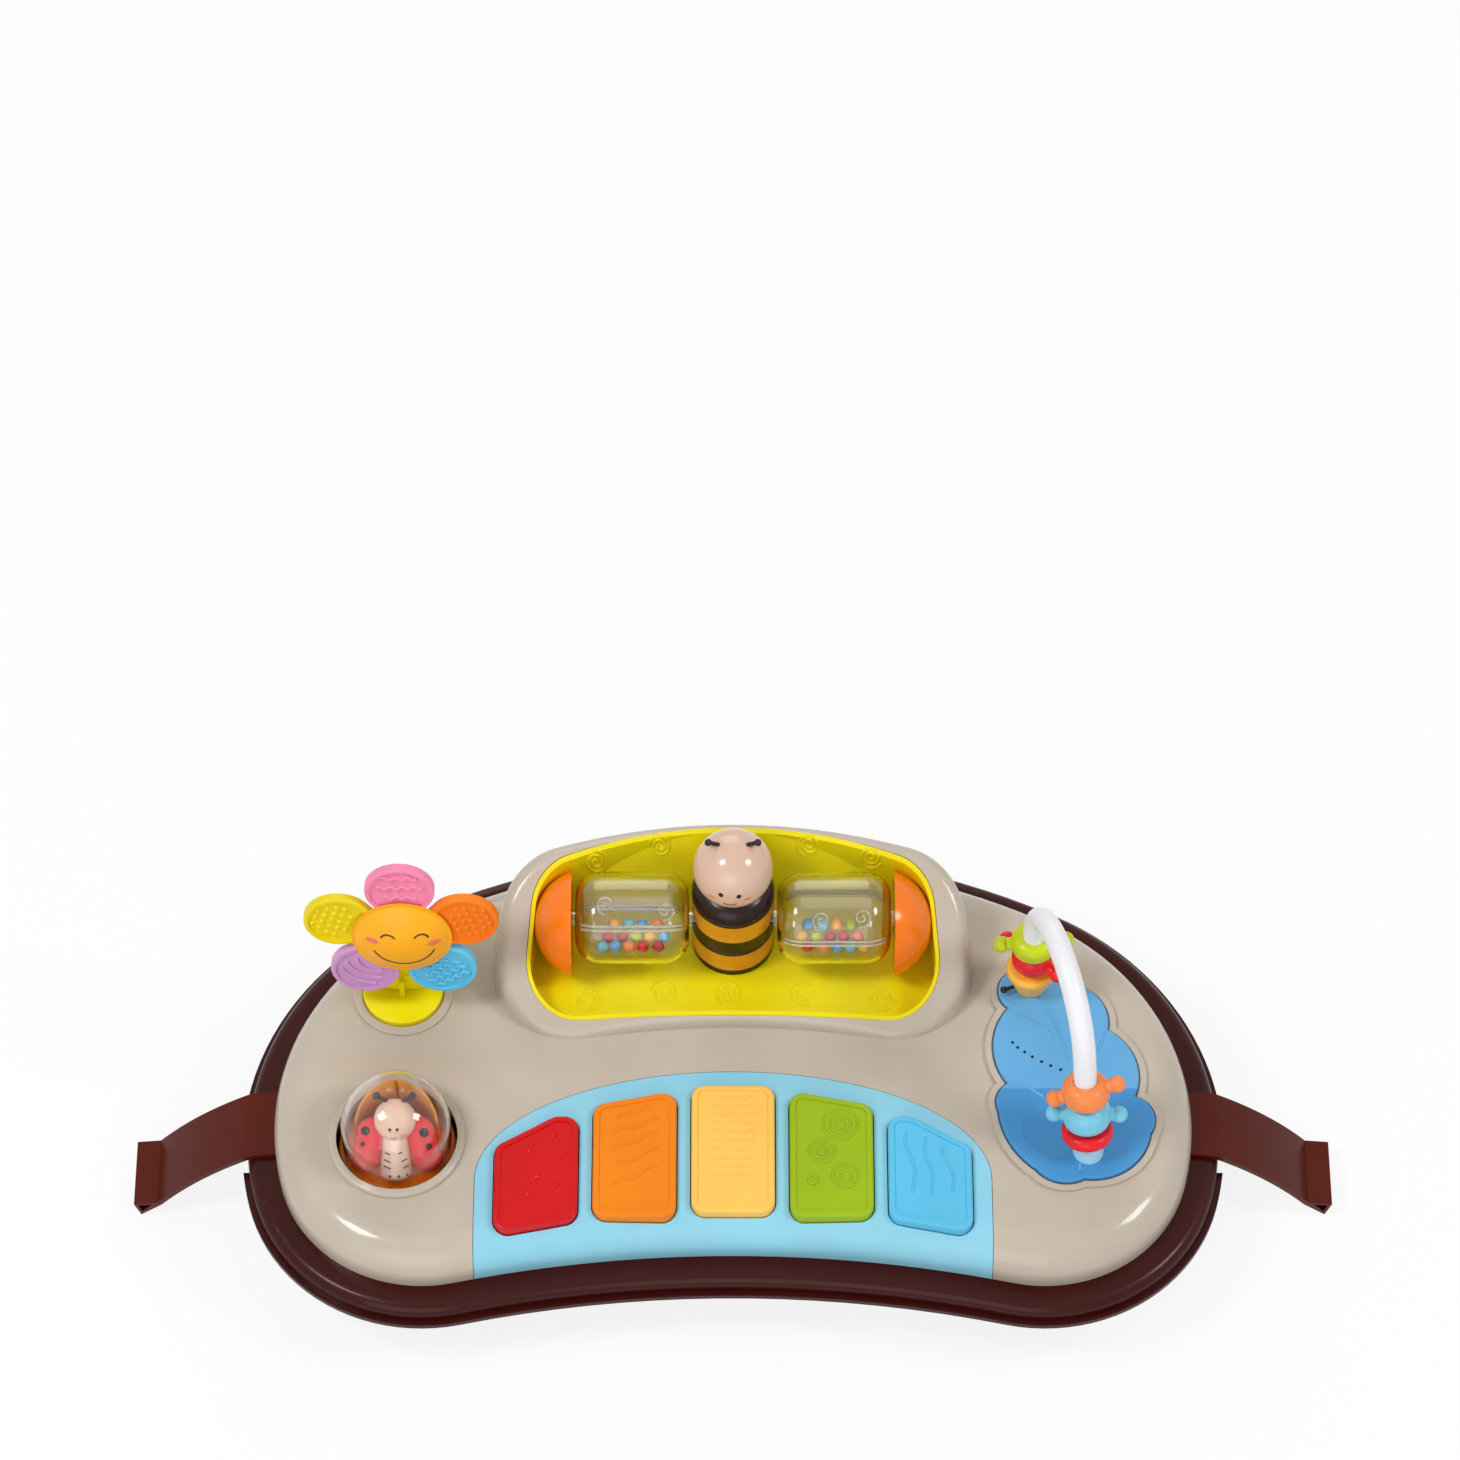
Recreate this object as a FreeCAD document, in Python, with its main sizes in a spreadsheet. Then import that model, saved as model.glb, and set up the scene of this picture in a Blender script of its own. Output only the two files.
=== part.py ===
import FreeCAD, Part
import math
import os
import re
from types import SimpleNamespace

import Sketcher
from FreeCAD import Placement, Rotation, Vector

# Detached play tray of a baby push walker: X to the right, Y to the back, Z up.
# The origin lies on the resting surface, under the middle of the tray.

SIZES = {
    "Tray outline, seen from above": {
        "half_width": 250,
        "tray_depth": 280,
        "lobe_place": 156,
        "lobe_radius": 92,
        "side_radius": 149,
        "front_notch": 17,
        "wall": 2.5,
        "overrun": 1,
        "seat_gap": 0.3,
    },
    "Base tray": {
        "base_depth": 38,
        "rim_height": 12.5,
        "rim_round": 6,
        "rim_wall": 3.5,
        "lip_width": 3,
        "lip_height": 3,
        "pan_inset": 25,
        "pan_round": 8,
    },
    "Top shell": {
        "shell_inset": 17.4,
        "shell_height": 24,
        "shell_round": 18,
    },
    "Console": {
        "console_front_half": 127,
        "console_back_half": 122,
        "console_front_corner": -6,
        "console_front_middle": 11.5,
        "console_back_corner": 92,
        "console_back_middle": 110,
        "console_corner_round": 42,
        "console_lean": 9,
        "console_low": 81,
        "console_low_place": 13,
        "console_slope": 31.4,
        "console_edge_round": 7,
        "console_wall": 3.4,
        "console_root": 10,
        "console_cap": 66,
    },
    "Cove panel": {
        "cove_front_half": 108.5,
        "cove_back_half": 101,
        "cove_front_corner": 11,
        "cove_front_middle": 15.5,
        "cove_back_corner": 80,
        "cove_back_middle": 97.4,
        "cove_corner_round": 26,
        "cove_lean": 16,
        "cove_foot_round": 9,
        "cove_sunk": 0.5,
        "cove_wall": 2,
        "cove_flange": 4,
    },
    "Keyboard panel": {
        "panel_half": 129.5,
        "panel_straight": -75,
        "panel_back": -13.1,
        "panel_gap": 0.3,
    },
    "Keys": {
        "key_width": 42,
        "key_pitch": 49.4,
        "key_proud": 3.8,
        "key_thickness": 9.5,
        "key_corner": 7,
        "key_edge": 1.5,
        "key_gap": 0.6,
        "key_travel": 3,
        "key_border": 3.2,
        "key_sunk": 0.7,
        "key_plunger_radius": 4,
        "middle_key_back": -22.7,
        "middle_key_front": -95.5,
        "inner_key_back": -25.6,
        "inner_key_side": -34,
        "inner_key_front": -98,
        "outer_key_back": -40.5,
        "outer_key_side": -58,
        "outer_key_front": -99,
        "outer_key_corner": -107,
        "outer_key_cut": 12,
    },
    "Circuit board and its silicone domes": {
        "board_half": 112,
        "board_front": -88,
        "board_back": -46,
        "board_thick": 1.6,
        "board_drop": 19.5,
        "dome_radius": 7,
        "dome_top_radius": 4.5,
        "dome_height": 5.2,
        "dome_gap": 0.2,
        "post_radius": 2.4,
        "post_place": -62,
    },
    "Drums": {
        "drum_place": 51.3,
        "drum_back": 59,
        "drum_up": 31.6,
        "drum_radius": 23.7,
        "drum_length": 57.8,
        "drum_round": 12.5,
        "drum_wall": 1.6,
        "drum_stub_radius": 4,
        "drum_stub": 4.6,
        "drum_seam_left": 45,
        "drum_seam_right": 25,
        "seam_half": 1.2,
        "seam_proud": 0.6,
        "rattle_radius": 3.2,
        "rattle_step": 7.1,
        "running_gap": 0.08,
    },
    "Half-moon brackets": {
        "moon_place": 82,
        "moon_radius": 27,
        "moon_height": 19.5,
        "moon_up": 26,
        "moon_wall": 2.4,
    },
    "Bee": {
        "bee_back": 65.1,
        "bee_radius": 21,
        "bee_height": 57,
        "bee_hollow": 15,
        "bee_shoulder": 9,
        "bee_groove": 0.5,
        "bee_band": 13.5,
        "bee_head_radius": 20.2,
        "bee_head_up": 70,
        "bee_neck_radius": 4,
        "bee_neck_low": 38,
        "antenna_radius": 1.1,
        "antenna_knob": 1.9,
        "antenna_length": 6,
    },
    "Flower": {
        "flower_place": -166,
        "flower_back": 32,
        "flower_up": 65,
        "flower_tilt": 8.6,
        "petal_reach": 50.5,
        "petal_half": 17.5,
        "petal_root": 12,
        "petal_root_half": 7,
        "petal_thick": 4.4,
        "petal_border": 2.4,
        "petal_sunk": 1.1,
        "face_radius": 25.2,
        "face_rise": 8.5,
        "hub_radius": 17,
        "hub_thick": 3,
        "pin_radius": 3,
        "pin_length": 12,
        "stalk_place": -168.5,
        "stalk_back": 33.4,
        "stalk_disc_radius": 20.5,
        "stalk_disc_thick": 4.5,
        "stalk_post_radius": 7,
        "stalk_post_back": 9.5,
        "stalk_rib": 2.6,
        "leaf_half": 31.5,
        "leaf_deep": 11.6,
        "leaf_front": 1.4,
        "leaf_bulge": 12,
        "leaf_wall": 5,
        "leaf_low": 1,
        "leaf_thick": 13,
        "stalk_pin_radius": 5,
        "stalk_ring": 5,
        "stalk_ring_rise": 1.6,
        "boss_length": 9,
    },
    "Ladybug capsule": {
        "capsule_place": -169.1,
        "capsule_back": -51.7,
        "capsule_radius": 27.6,
        "capsule_wall": 1.6,
        "capsule_straight": 14,
        "capsule_hole": 30.6,
        "capsule_ring": 4,
        "capsule_ring_rise": 3,
        "floor_radius": 29.6,
        "floor_thick": 4,
        "capsule_pin_radius": 4.5,
        "capsule_pin": 8,
        "bug_lean": 34,
        "bug_forward": 17.9,
        "bug_head_radius": 10.6,
        "bug_head_up": 31,
        "bug_body_radius": 8.6,
        "bug_body_top": 5.5,
        "bug_body_round": 4,
        "wing_radius": 8.4,
        "wing_low_place": 14.5,
        "wing_high_place": 11.5,
        "wing_low": 10,
        "wing_high": 21,
        "wing_back": 4.5,
    },
    "Leaf plate": {
        "leaf_plate_thick": 4,
        "leaf_plate_round": 1.4,
        "leaf_ring_gap": 0.8,
        "leaf_ring": 3.2,
        "leaf_ring_rise": 2,
        "lobe_dish": 1.4,
        "lobe_rim": 3,
        "speaker_radius": 20,
        "speaker_depth": 13,
    },
    "Bead arch": {
        "arch_front_place": 178.1,
        "arch_front_back": -60.5,
        "arch_span": 99.9,
        "arch_turn": 105.3,
        "arch_lean": 14.7,
        "arch_bend": 42.3,
        "rod_radius": 5.75,
        "rod_foot": 5,
        "collar_radius": 8,
        "collar_top_radius": 6.8,
        "collar_height": 10,
        "bead_gap": 0.3,
        "bead_slide": 4.6,
    },
    "Beads on the front leg": {
        "red_disc_radius": 13,
        "red_disc_height": 7.5,
        "blue_bead_radius": 12,
        "blue_bead_height": 17,
        "orange_bead_radius": 12,
        "orange_bead_height": 14.5,
        "arm_radius": 4.3,
        "arm_reach": 20.5,
        "blue_arm_fall": 5,
        "orange_arm_rise": 15,
    },
    "Beads on the rear leg": {
        "yellow_bead_radius": 12.8,
        "yellow_bead_foot": 8,
        "yellow_bead_height": 19,
        "red_bead_radius": 10.5,
        "red_bead_height": 15.6,
        "red_bead_turn": 140,
        "green_bead_radius": 11.5,
        "green_bead_height": 12.4,
        "green_arm_rise": 8,
    },
    "Clip arms": {
        "arm_width": 36.6,
        "arm_middle": -31.5,
        "arm_thick": 3,
        "arm_root": 26,
        "arm_first_bend": 12,
        "arm_first_angle": 30,
        "arm_last_angle": 52,
        "arm_long_bend": 158,
        "arm_forward": 3.6,
        "barb_width": 12,
        "barb_depth": 11,
        "barb_wall": 2.2,
        "arm_slot_gap": 0.4,
    },
    "Batteries and screws": {
        "cell_radius": 7.1,
        "cell_length": 49.5,
        "cell_nub_radius": 2.7,
        "cell_nub": 1,
        "cell_gap": 0.5,
        "cell_box_wall": 2,
        "cell_box_height": 17,
        "cell_box_back": 4,
        "door_edge": 4,
        "door_gap": 0.3,
        "door_screw_place": 4.5,
        "case_screw_radius": 1.6,
        "case_screw_head": 3.2,
        "case_screw_head_height": 2.4,
        "case_screw_length": 20,
        "screw_post_radius": 5.5,
        "screw_well": 3.6,
        "screw_inset": 39.5,
        "screw_angle": 15,
        "screw_back_angle": 60,
        "screw_seat": 36,
    },
}

doc = FreeCAD.newDocument("PlayTray")
sheet = doc.addObject("Spreadsheet::Sheet", "Sizes")


def fill_sheet():
    """One row for each size, under its group's heading; each value has its own name."""
    row = 1
    names = []
    for heading, group in SIZES.items():
        sheet.set("A%d" % row, heading)
        row += 1
        for name, value in group.items():
            sheet.set("A%d" % row, name)
            sheet.set("B%d" % row, str(value))
            sheet.setAlias("B%d" % row, name)
            names.append(name)
            row += 1
    doc.recompute()
    return names


NAMES = fill_sheet()
S = SimpleNamespace(**{name: float(sheet.get(name)) for name in NAMES})
FINISHED = {}

# Levels that several pieces share
RIM_TOP = S.base_depth + S.rim_height
SHELL_TOP = RIM_TOP + S.shell_height
COVE_FLOOR = SHELL_TOP
CONSOLE_TAN = math.tan(math.radians(S.console_slope))
KEY_TOP = SHELL_TOP + S.key_proud
KEY_LOW = KEY_TOP - S.key_thickness
BOARD_TOP = SHELL_TOP - S.wall - S.board_drop
LEAF_TOP = SHELL_TOP + S.leaf_plate_thick


def formula(text):
    """The same sum, with the sheet named before each of its sizes."""
    return re.sub(r"[a-z_]+", lambda word: "Sizes." + word.group() if word.group() in NAMES else word.group(), text)


def bind(item, **sums):
    """Ties properties of a document object to sums of sheet sizes."""
    for name, text in sums.items():
        item.setExpression(name, formula(text))
    return item


def finish(item, label):
    """Marks a document object as a finished piece; its label names the file."""
    item.Label = label
    FINISHED[label] = item
    return item


def feature(label, shape, place=None):
    """A piece whose shape comes from profiles and solids worked out in code."""
    item = doc.addObject("Part::Feature", label)
    item.Shape = shape
    if place is not None:
        item.Placement = place
    return item


# Sketched bodies

def new_body(label, place):
    body = doc.addObject("PartDesign::Body", label)
    body.Placement = place
    return body


def plane_sketch(body, role, name):
    sketch = body.newObject("Sketcher::SketchObject", name)
    plane = [item for item in body.Origin.OriginFeatures if item.Role == role][0]
    sketch.AttachmentSupport = (plane, "")
    sketch.MapMode = "FlatFace"
    return sketch


def draw_corners(sketch, corners):
    """A closed run of straight lines; each corner is a pair of sheet sums."""
    spots = []
    for across, along in corners:
        x = float(sheet.evalExpression(formula(across)))
        y = float(sheet.evalExpression(formula(along)))
        spots.append(Vector(x, y, 0))
    count = len(spots)
    for i in range(count):
        sketch.addGeometry(Part.LineSegment(spots[i], spots[(i + 1) % count]))
    for i in range(count):
        sketch.addConstraint(Sketcher.Constraint("Coincident", i, 2, (i + 1) % count, 1))
    for i, (across, along) in enumerate(corners):
        spot = sketch.addConstraint(Sketcher.Constraint("DistanceX", -1, 1, i, 1, spots[i].x))
        sketch.setExpression("Constraints[%d]" % spot, formula(across))
        spot = sketch.addConstraint(Sketcher.Constraint("DistanceY", -1, 1, i, 1, spots[i].y))
        sketch.setExpression("Constraints[%d]" % spot, formula(along))


def edges_where(shape, test):
    return ["Edge%d" % (i + 1) for i, edge in enumerate(shape.Edges) if test(edge)]


def ring_test(radius, height):
    """True for a round edge about the local upright axis."""
    def test(edge):
        box = edge.BoundBox
        wide = (box.XMax - box.XMin) / 2
        return abs(wide - radius) < 1e-3 and abs(box.ZMin - height) < 1e-3 and abs(box.ZMax - height) < 1e-3
    return test


def turned_body(label, corners, place, rounds=()):
    """A profile turned about the body's upright axis, with some corners rounded."""
    body = new_body(label, place)
    sketch = plane_sketch(body, "XZ_Plane", label + "_profile")
    draw_corners(sketch, corners)
    turn = body.newObject("PartDesign::Revolution", label + "_turn")
    turn.Profile = sketch
    turn.ReferenceAxis = (sketch, ["V_Axis"])
    turn.Angle = 360
    doc.recompute()
    last = turn
    for i, (across, along, radius) in enumerate(rounds):
        x = float(sheet.evalExpression(formula(across)))
        z = float(sheet.evalExpression(formula(along)))
        fillet = body.newObject("PartDesign::Fillet", "%s_round_%d" % (label, i))
        fillet.Base = (last, edges_where(last.Shape, ring_test(x, z)))
        bind(fillet, Radius=radius)
        doc.recompute()
        last = fillet
    body.Tip = last
    return body


def padded_body(label, corners, place, length, offset="0"):
    """A straight-sided outline in the body's level plane, padded upwards."""
    body = new_body(label, place)
    sketch = plane_sketch(body, "XY_Plane", label + "_outline")
    draw_corners(sketch, corners)
    if offset != "0":
        sketch.setExpression("AttachmentOffset.Base.z", formula(offset))
    pad = body.newObject("PartDesign::Pad", label + "_pad")
    pad.Profile = sketch
    bind(pad, Length=length)
    doc.recompute()
    body.Tip = pad
    return body, pad


# Outlines and simple solids

def polar(centre, radius, angle):
    return Vector(centre[0] + radius * math.cos(angle), centre[1] + radius * math.sin(angle), 0)


def arc(centre, radius, start, end):
    middle = (start + end) / 2
    spots = [polar(centre, radius, angle) for angle in (start, middle, end)]
    return Part.Arc(*spots).toShape()


def bearing(start, end):
    return math.atan2(end[1] - start[1], end[0] - start[0])


def side_circle_y():
    """Level of the side circle's centre, so that it meets the lobe smoothly."""
    swing = S.side_radius - S.lobe_radius
    shift = S.half_width - S.side_radius - S.lobe_place
    return S.lobe_radius - S.tray_depth / 2 + math.sqrt(swing ** 2 - shift ** 2)


def tray_outline(inset):
    """The kidney outline, drawn in by inset: seven arcs that meet smoothly."""
    half_deep = S.tray_depth / 2
    lobe = (S.lobe_place, S.lobe_radius - half_deep)
    notch_y = S.front_notch - half_deep
    rise = lobe[1] - notch_y
    hollow_radius = (S.lobe_place ** 2 + rise ** 2 - S.lobe_radius ** 2) / (2 * (S.lobe_radius - rise))
    hollow = (0, notch_y - hollow_radius)
    side_x = S.half_width - S.side_radius
    side = (side_x, side_circle_y())
    down = side[1] - half_deep
    back_radius = (S.side_radius ** 2 - side_x ** 2 - down ** 2) / (2 * (down + S.side_radius))
    back = (0, half_deep - back_radius)
    to_lobe = bearing(hollow, lobe)
    from_side = bearing(side, lobe)
    to_side = bearing(back, side)
    mirror = math.pi
    edges = [
        arc(hollow, hollow_radius + inset, mirror - to_lobe, to_lobe),
        arc(lobe, S.lobe_radius - inset, to_lobe - math.pi, from_side),
        arc(side, S.side_radius - inset, from_side, to_side),
        arc(back, back_radius - inset, to_side, mirror - to_side),
        arc((-side[0], side[1]), S.side_radius - inset, mirror - to_side, mirror - from_side),
        arc((-lobe[0], lobe[1]), S.lobe_radius - inset, mirror - from_side, 2 * mirror - to_lobe),
    ]
    return Part.Wire(Part.__sortEdges__(edges))


def prism(wire, low, high):
    face = Part.Face(wire)
    face.translate(Vector(0, 0, low))
    return face.extrude(Vector(0, 0, high - low))


def level_edges(solid, height):
    """Edges of a solid that lie flat at one height."""
    flat = []
    for edge in solid.Edges:
        box = edge.BoundBox
        if abs(box.ZMin - height) < 1e-3 and abs(box.ZMax - height) < 1e-3:
            flat.append(edge)
    return flat


def rounded_prism(wire, low, high, radius, height):
    solid = prism(wire, low, high)
    return solid.makeFillet(radius, level_edges(solid, height))


def box(x_low, x_high, y_low, y_high, z_low, z_high):
    return Part.makeBox(x_high - x_low, y_high - y_low, z_high - z_low, Vector(x_low, y_low, z_low))


def post(x, y, radius, low, high):
    return Part.makeCylinder(radius, high - low, Vector(x, y, low))


def tube(x, y, outer, inner, low, high):
    return post(x, y, outer, low, high).cut(post(x, y, inner, low - S.overrun, high + S.overrun))


def wire_through(corners):
    spots = [Vector(*corner) for corner in corners]
    return Part.makePolygon(spots + spots[:1])


def side_prism(corners, half):
    """A profile in the Y and Z plane, drawn out to both sides of the middle."""
    face = Part.Face(wire_through([(-half, y, z) for y, z in corners]))
    return face.extrude(Vector(2 * half, 0, 0))


def ball(centre, radius):
    return Part.makeSphere(radius, Vector(*centre))


def one_solid(shape):
    """The solid itself, where a boolean result holds just one."""
    solids = shape.removeSplitter().Solids
    return solids[0] if len(solids) == 1 else Part.makeCompound(solids)


# Base tray

def arm_band(grow):
    """The strip of Y that a clip arm takes at its root."""
    half = S.arm_width / 2 + grow
    return S.arm_middle - half, S.arm_middle + half


def screw_places():
    """Six case screws, three on each side, on one curve inside the pan's wall."""
    reach = S.lobe_radius - S.screw_inset
    lobe_y = S.lobe_radius - S.tray_depth / 2
    spots = []
    for side in (-1, 1):
        front = polar((side * S.lobe_place, lobe_y), reach, math.radians(-90))
        spots.append((front.x, front.y))
        reach_side = S.side_radius - S.screw_inset
        side_x = S.half_width - S.side_radius
        for angle in (S.screw_angle, S.screw_back_angle):
            spot = polar((side_x, side_circle_y()), reach_side, math.radians(angle))
            spots.append((side * spot.x, spot.y))
    return spots


def cell_bay():
    """Inner corners of the battery bay: three cells side by side, lying along X."""
    half_x = S.cell_length / 2 + S.cell_nub + S.cell_gap
    half_y = S.cell_radius * 3 + S.cell_gap
    return -half_x, half_x, S.cell_box_back - half_y, S.cell_box_back + half_y


def make_base_tray():
    rim = rounded_prism(tray_outline(S.lip_width), S.base_depth, RIM_TOP, S.rim_round, RIM_TOP)
    lip = prism(tray_outline(0), S.base_depth, S.base_depth + S.lip_height)
    front, back = arm_band(S.lip_width)
    for side in (-1, 1):
        near = side * (S.half_width - S.arm_root)
        far = side * (S.half_width + S.overrun)
        lip = lip.cut(box(min(near, far), max(near, far), front, back, S.base_depth - S.overrun, RIM_TOP))
    pan = rounded_prism(tray_outline(S.pan_inset), 0, S.base_depth + S.rim_height, S.pan_round, 0)
    hollow = prism(tray_outline(S.pan_inset + S.wall), S.wall, RIM_TOP + S.overrun)
    channel_top = RIM_TOP - S.rim_wall
    channel = prism(tray_outline(S.lip_width + S.rim_wall), S.base_depth - S.overrun, channel_top)
    channel = channel.cut(prism(tray_outline(S.pan_inset), 0, RIM_TOP))
    shape = rim.fuse(lip).cut(channel).fuse(pan).cut(hollow)
    for x, y in screw_places():
        shape = shape.fuse(post(x, y, S.screw_post_radius, S.wall / 2, RIM_TOP - S.wall))
        shape = shape.cut(post(x, y, S.screw_well, -S.overrun, S.screw_seat))
        shape = shape.cut(post(x, y, S.case_screw_radius + S.seat_gap, 0, RIM_TOP))
    x_low, x_high, y_low, y_high = cell_bay()
    bay_wall = S.cell_box_wall
    bay = box(x_low - bay_wall, x_high + bay_wall, y_low - bay_wall, y_high + bay_wall + S.door_screw_place * 2,
              S.wall / 2, S.cell_box_height + bay_wall)
    bay = bay.cut(box(x_low, x_high, y_low, y_high, -S.overrun, S.cell_box_height))
    shape = shape.fuse(bay)
    shape = shape.cut(box(x_low, x_high, y_low, y_high, -S.overrun, S.cell_box_height))
    edge = S.door_edge
    shape = shape.cut(box(x_low - edge, x_high + edge, y_low - edge, y_high + edge + S.door_screw_place * 2,
                          -S.overrun, S.wall / 2))
    screw_y = y_high + S.door_screw_place
    shape = shape.cut(post(0, screw_y, S.case_screw_radius, 0, S.cell_box_height - S.overrun))
    shape = shape.fuse(tube(S.capsule_place, S.capsule_back, S.capsule_pin_radius + S.wall,
                            S.capsule_pin_radius + S.running_gap, S.wall / 2, capsule_floor_low() - S.seat_gap))
    finish(feature("base_tray", one_solid(shape)), "base_tray")


def make_battery_door():
    x_low, x_high, y_low, y_high = cell_bay()
    edge = S.door_edge - S.door_gap
    y_far = y_high + edge + S.door_screw_place * 2
    plate = box(x_low - edge, x_high + edge, y_low - edge, y_far, 0, S.wall / 2)
    inner = S.door_gap
    plug = box(x_low + inner, x_high - inner, y_low + inner, y_high - inner, 0, S.wall)
    screw_y = y_high + S.door_screw_place
    plate = plate.fuse(plug).cut(post(0, screw_y, S.case_screw_radius + S.seat_gap / 2, -S.overrun, S.wall * 2))
    finish(feature("battery_door", one_solid(plate)), "battery_door")
    length = S.cell_box_height / 2
    screw = post(0, screw_y, S.case_screw_radius, S.wall / 2, length)
    finish(feature("battery_door_screw", screw), "battery_door_screw")


def make_cells():
    """Three cells, turned end for end in turn."""
    solids = []
    low = S.wall
    for i in (-1, 0, 1):
        way = 1 if i == 0 else -1
        y = S.cell_box_back + i * (2 * S.cell_radius)
        centre = Vector(-way * S.cell_length / 2, y, low + S.cell_radius)
        gap = S.cell_gap / 4
        can = Part.makeCylinder(S.cell_radius - gap, S.cell_length, centre, Vector(way, 0, 0))
        nub = Part.makeCylinder(S.cell_nub_radius, S.cell_length + S.cell_nub, centre, Vector(way, 0, 0))
        solids.append(one_solid(can.fuse(nub)))
    finish(feature("batteries", Part.makeCompound(solids)), "batteries")


def make_case_screws():
    solids = []
    for x, y in screw_places():
        head_low = S.screw_seat - S.case_screw_head_height
        head = post(x, y, S.case_screw_head, head_low, S.screw_seat)
        shank = post(x, y, S.case_screw_radius, S.screw_seat - S.overrun, S.screw_seat + S.case_screw_length)
        solids.append(one_solid(head.fuse(shank)))
    finish(feature("case_screws", Part.makeCompound(solids)), "case_screws")


# Top shell, console and panels

def shell_form(shrink):
    """The shell's outer form, or its inside when it is shrunk by the wall."""
    low = RIM_TOP if shrink == 0 else RIM_TOP - S.overrun
    high = SHELL_TOP - shrink
    return rounded_prism(tray_outline(S.shell_inset + shrink), low, high, S.shell_round - shrink, high)


def four_sided(front_half, back_half, front_corner, front_middle, back_corner, back_middle, radius, height):
    """A level outline with an arc in front and behind and rounded corners."""
    left = Vector(-front_half, front_corner, 0)
    right = Vector(front_half, front_corner, 0)
    far_right = Vector(back_half, back_corner, 0)
    far_left = Vector(-back_half, back_corner, 0)
    edges = [
        Part.Arc(left, Vector(0, front_middle, 0), right).toShape(),
        Part.LineSegment(right, far_right).toShape(),
        Part.Arc(far_right, Vector(0, back_middle, 0), far_left).toShape(),
        Part.LineSegment(far_left, left).toShape(),
    ]
    block = Part.Face(Part.Wire(edges)).extrude(Vector(0, 0, radius))
    corners = [edge for edge in block.Edges if edge.BoundBox.ZLength > radius / 2]
    block = block.makeFillet(radius, corners)
    wire = [face for face in block.Faces if face.BoundBox.ZMax < radius / 2][0].OuterWire
    wire.translate(Vector(0, 0, height))
    return wire


def console_plane(y):
    return S.console_low + (y - S.console_low_place) * CONSOLE_TAN


def above_console(drop):
    """Everything over the console's sloping face, lowered by drop."""
    near = -S.tray_depth
    far = S.tray_depth
    high = SHELL_TOP + S.tray_depth * 2
    return side_prism([
        (near, console_plane(near) - drop), (far, console_plane(far) - drop), (far, high), (near, high),
    ], S.half_width)


def console_form(shrink):
    """A leaning four-sided hump, cut off by a plane that rises to the back."""
    foot_z = SHELL_TOP - S.console_root
    cap_z = SHELL_TOP + S.console_cap
    wires = []
    for height, lean in ((foot_z, 0), (cap_z, S.console_lean)):
        draw_in = lean + shrink
        wires.append(four_sided(
            S.console_front_half - draw_in, S.console_back_half - draw_in,
            S.console_front_corner + draw_in, S.console_front_middle + draw_in,
            S.console_back_corner - draw_in, S.console_back_middle - draw_in,
            S.console_corner_round - draw_in, height))
    hump = Part.makeLoft(wires, True, True)
    drop = shrink / math.cos(math.radians(S.console_slope))
    hump = hump.cut(above_console(drop))
    slope = math.radians(S.console_slope)
    normal = Vector(0, -math.sin(slope), math.cos(slope))
    top = [face for face in hump.Faces if face.normalAt(0, 0).getAngle(normal) < math.radians(1)][0]
    if shrink > 0:
        return hump
    return hump.makeFillet(S.console_edge_round, top.Edges)


def cove_outline(draw_in, height):
    return four_sided(
        S.cove_front_half - draw_in, S.cove_back_half - draw_in,
        S.cove_front_corner + draw_in, S.cove_front_middle + draw_in,
        S.cove_back_corner - draw_in, S.cove_back_middle - draw_in,
        S.cove_corner_round - draw_in, height)


def panel_outline(grow):
    """The keyboard panel from above: straight sides under half an ellipse."""
    half = S.panel_half + grow
    deep = S.panel_back - S.panel_straight + grow
    front = -S.tray_depth
    centre = Vector(0, S.panel_straight, 0)
    oval = Part.Ellipse(centre, half, deep)
    edges = [
        Part.LineSegment(Vector(-half, front, 0), Vector(half, front, 0)).toShape(),
        Part.LineSegment(Vector(half, front, 0), Vector(half, S.panel_straight, 0)).toShape(),
        Part.ArcOfEllipse(oval, 0, math.pi).toShape(),
        Part.LineSegment(Vector(-half, S.panel_straight, 0), Vector(-half, front, 0)).toShape(),
    ]
    return Part.Wire(edges)


def leaf_corners():
    """Junctions and bulges of the leaf plate, in turn: each bulge ends at the next junction."""
    reach = S.lobe_place
    shares = [
        ((0.8891, -0.1372), (0.8577, -0.2372)),
        ((0.9038, -0.3782), (0.9744, -0.4551)),
        ((1.0769, -0.5026), (1.1282, -0.4878)),
        ((1.2564, -0.4603), (1.3462, -0.3205)),
        ((1.3622, -0.2628), (1.3013, -0.1859)),
        ((1.3141, -0.0769), (1.2212, 0.0641)),
        ((1.1987, 0.1795), (1.1314, 0.2308)),
        ((1.0192, 0.3141), (0.9167, 0.2885)),
        ((0.8718, 0.2372), (0.8987, 0.1474)),
        ((0.8494, 0.0385), (0.8891, -0.1372)),
    ]
    spots = []
    for bulge, junction in shares:
        spots.append((Vector(bulge[0] * reach, bulge[1] * reach, 0), Vector(junction[0] * reach, junction[1] * reach, 0)))
    return spots


def leaf_wire():
    spots = leaf_corners()
    edges = []
    start = spots[-1][1]
    for i, (bulge, junction) in enumerate(spots):
        if i == 0:
            edges.append(Part.Arc(start, spots[0][1] * 0.5 + start * 0.5 + Vector(-S.leaf_ring, 0, 0), junction).toShape())
        else:
            edges.append(Part.Arc(start, bulge, junction).toShape())
        start = junction
    return Part.Wire(edges)


def key_spots():
    """Label, place in the row, and side of the middle, from left to right."""
    return [("red_key", -2), ("orange_key", -1), ("yellow_key", 0), ("green_key", 1), ("blue_key", 2)]


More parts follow.
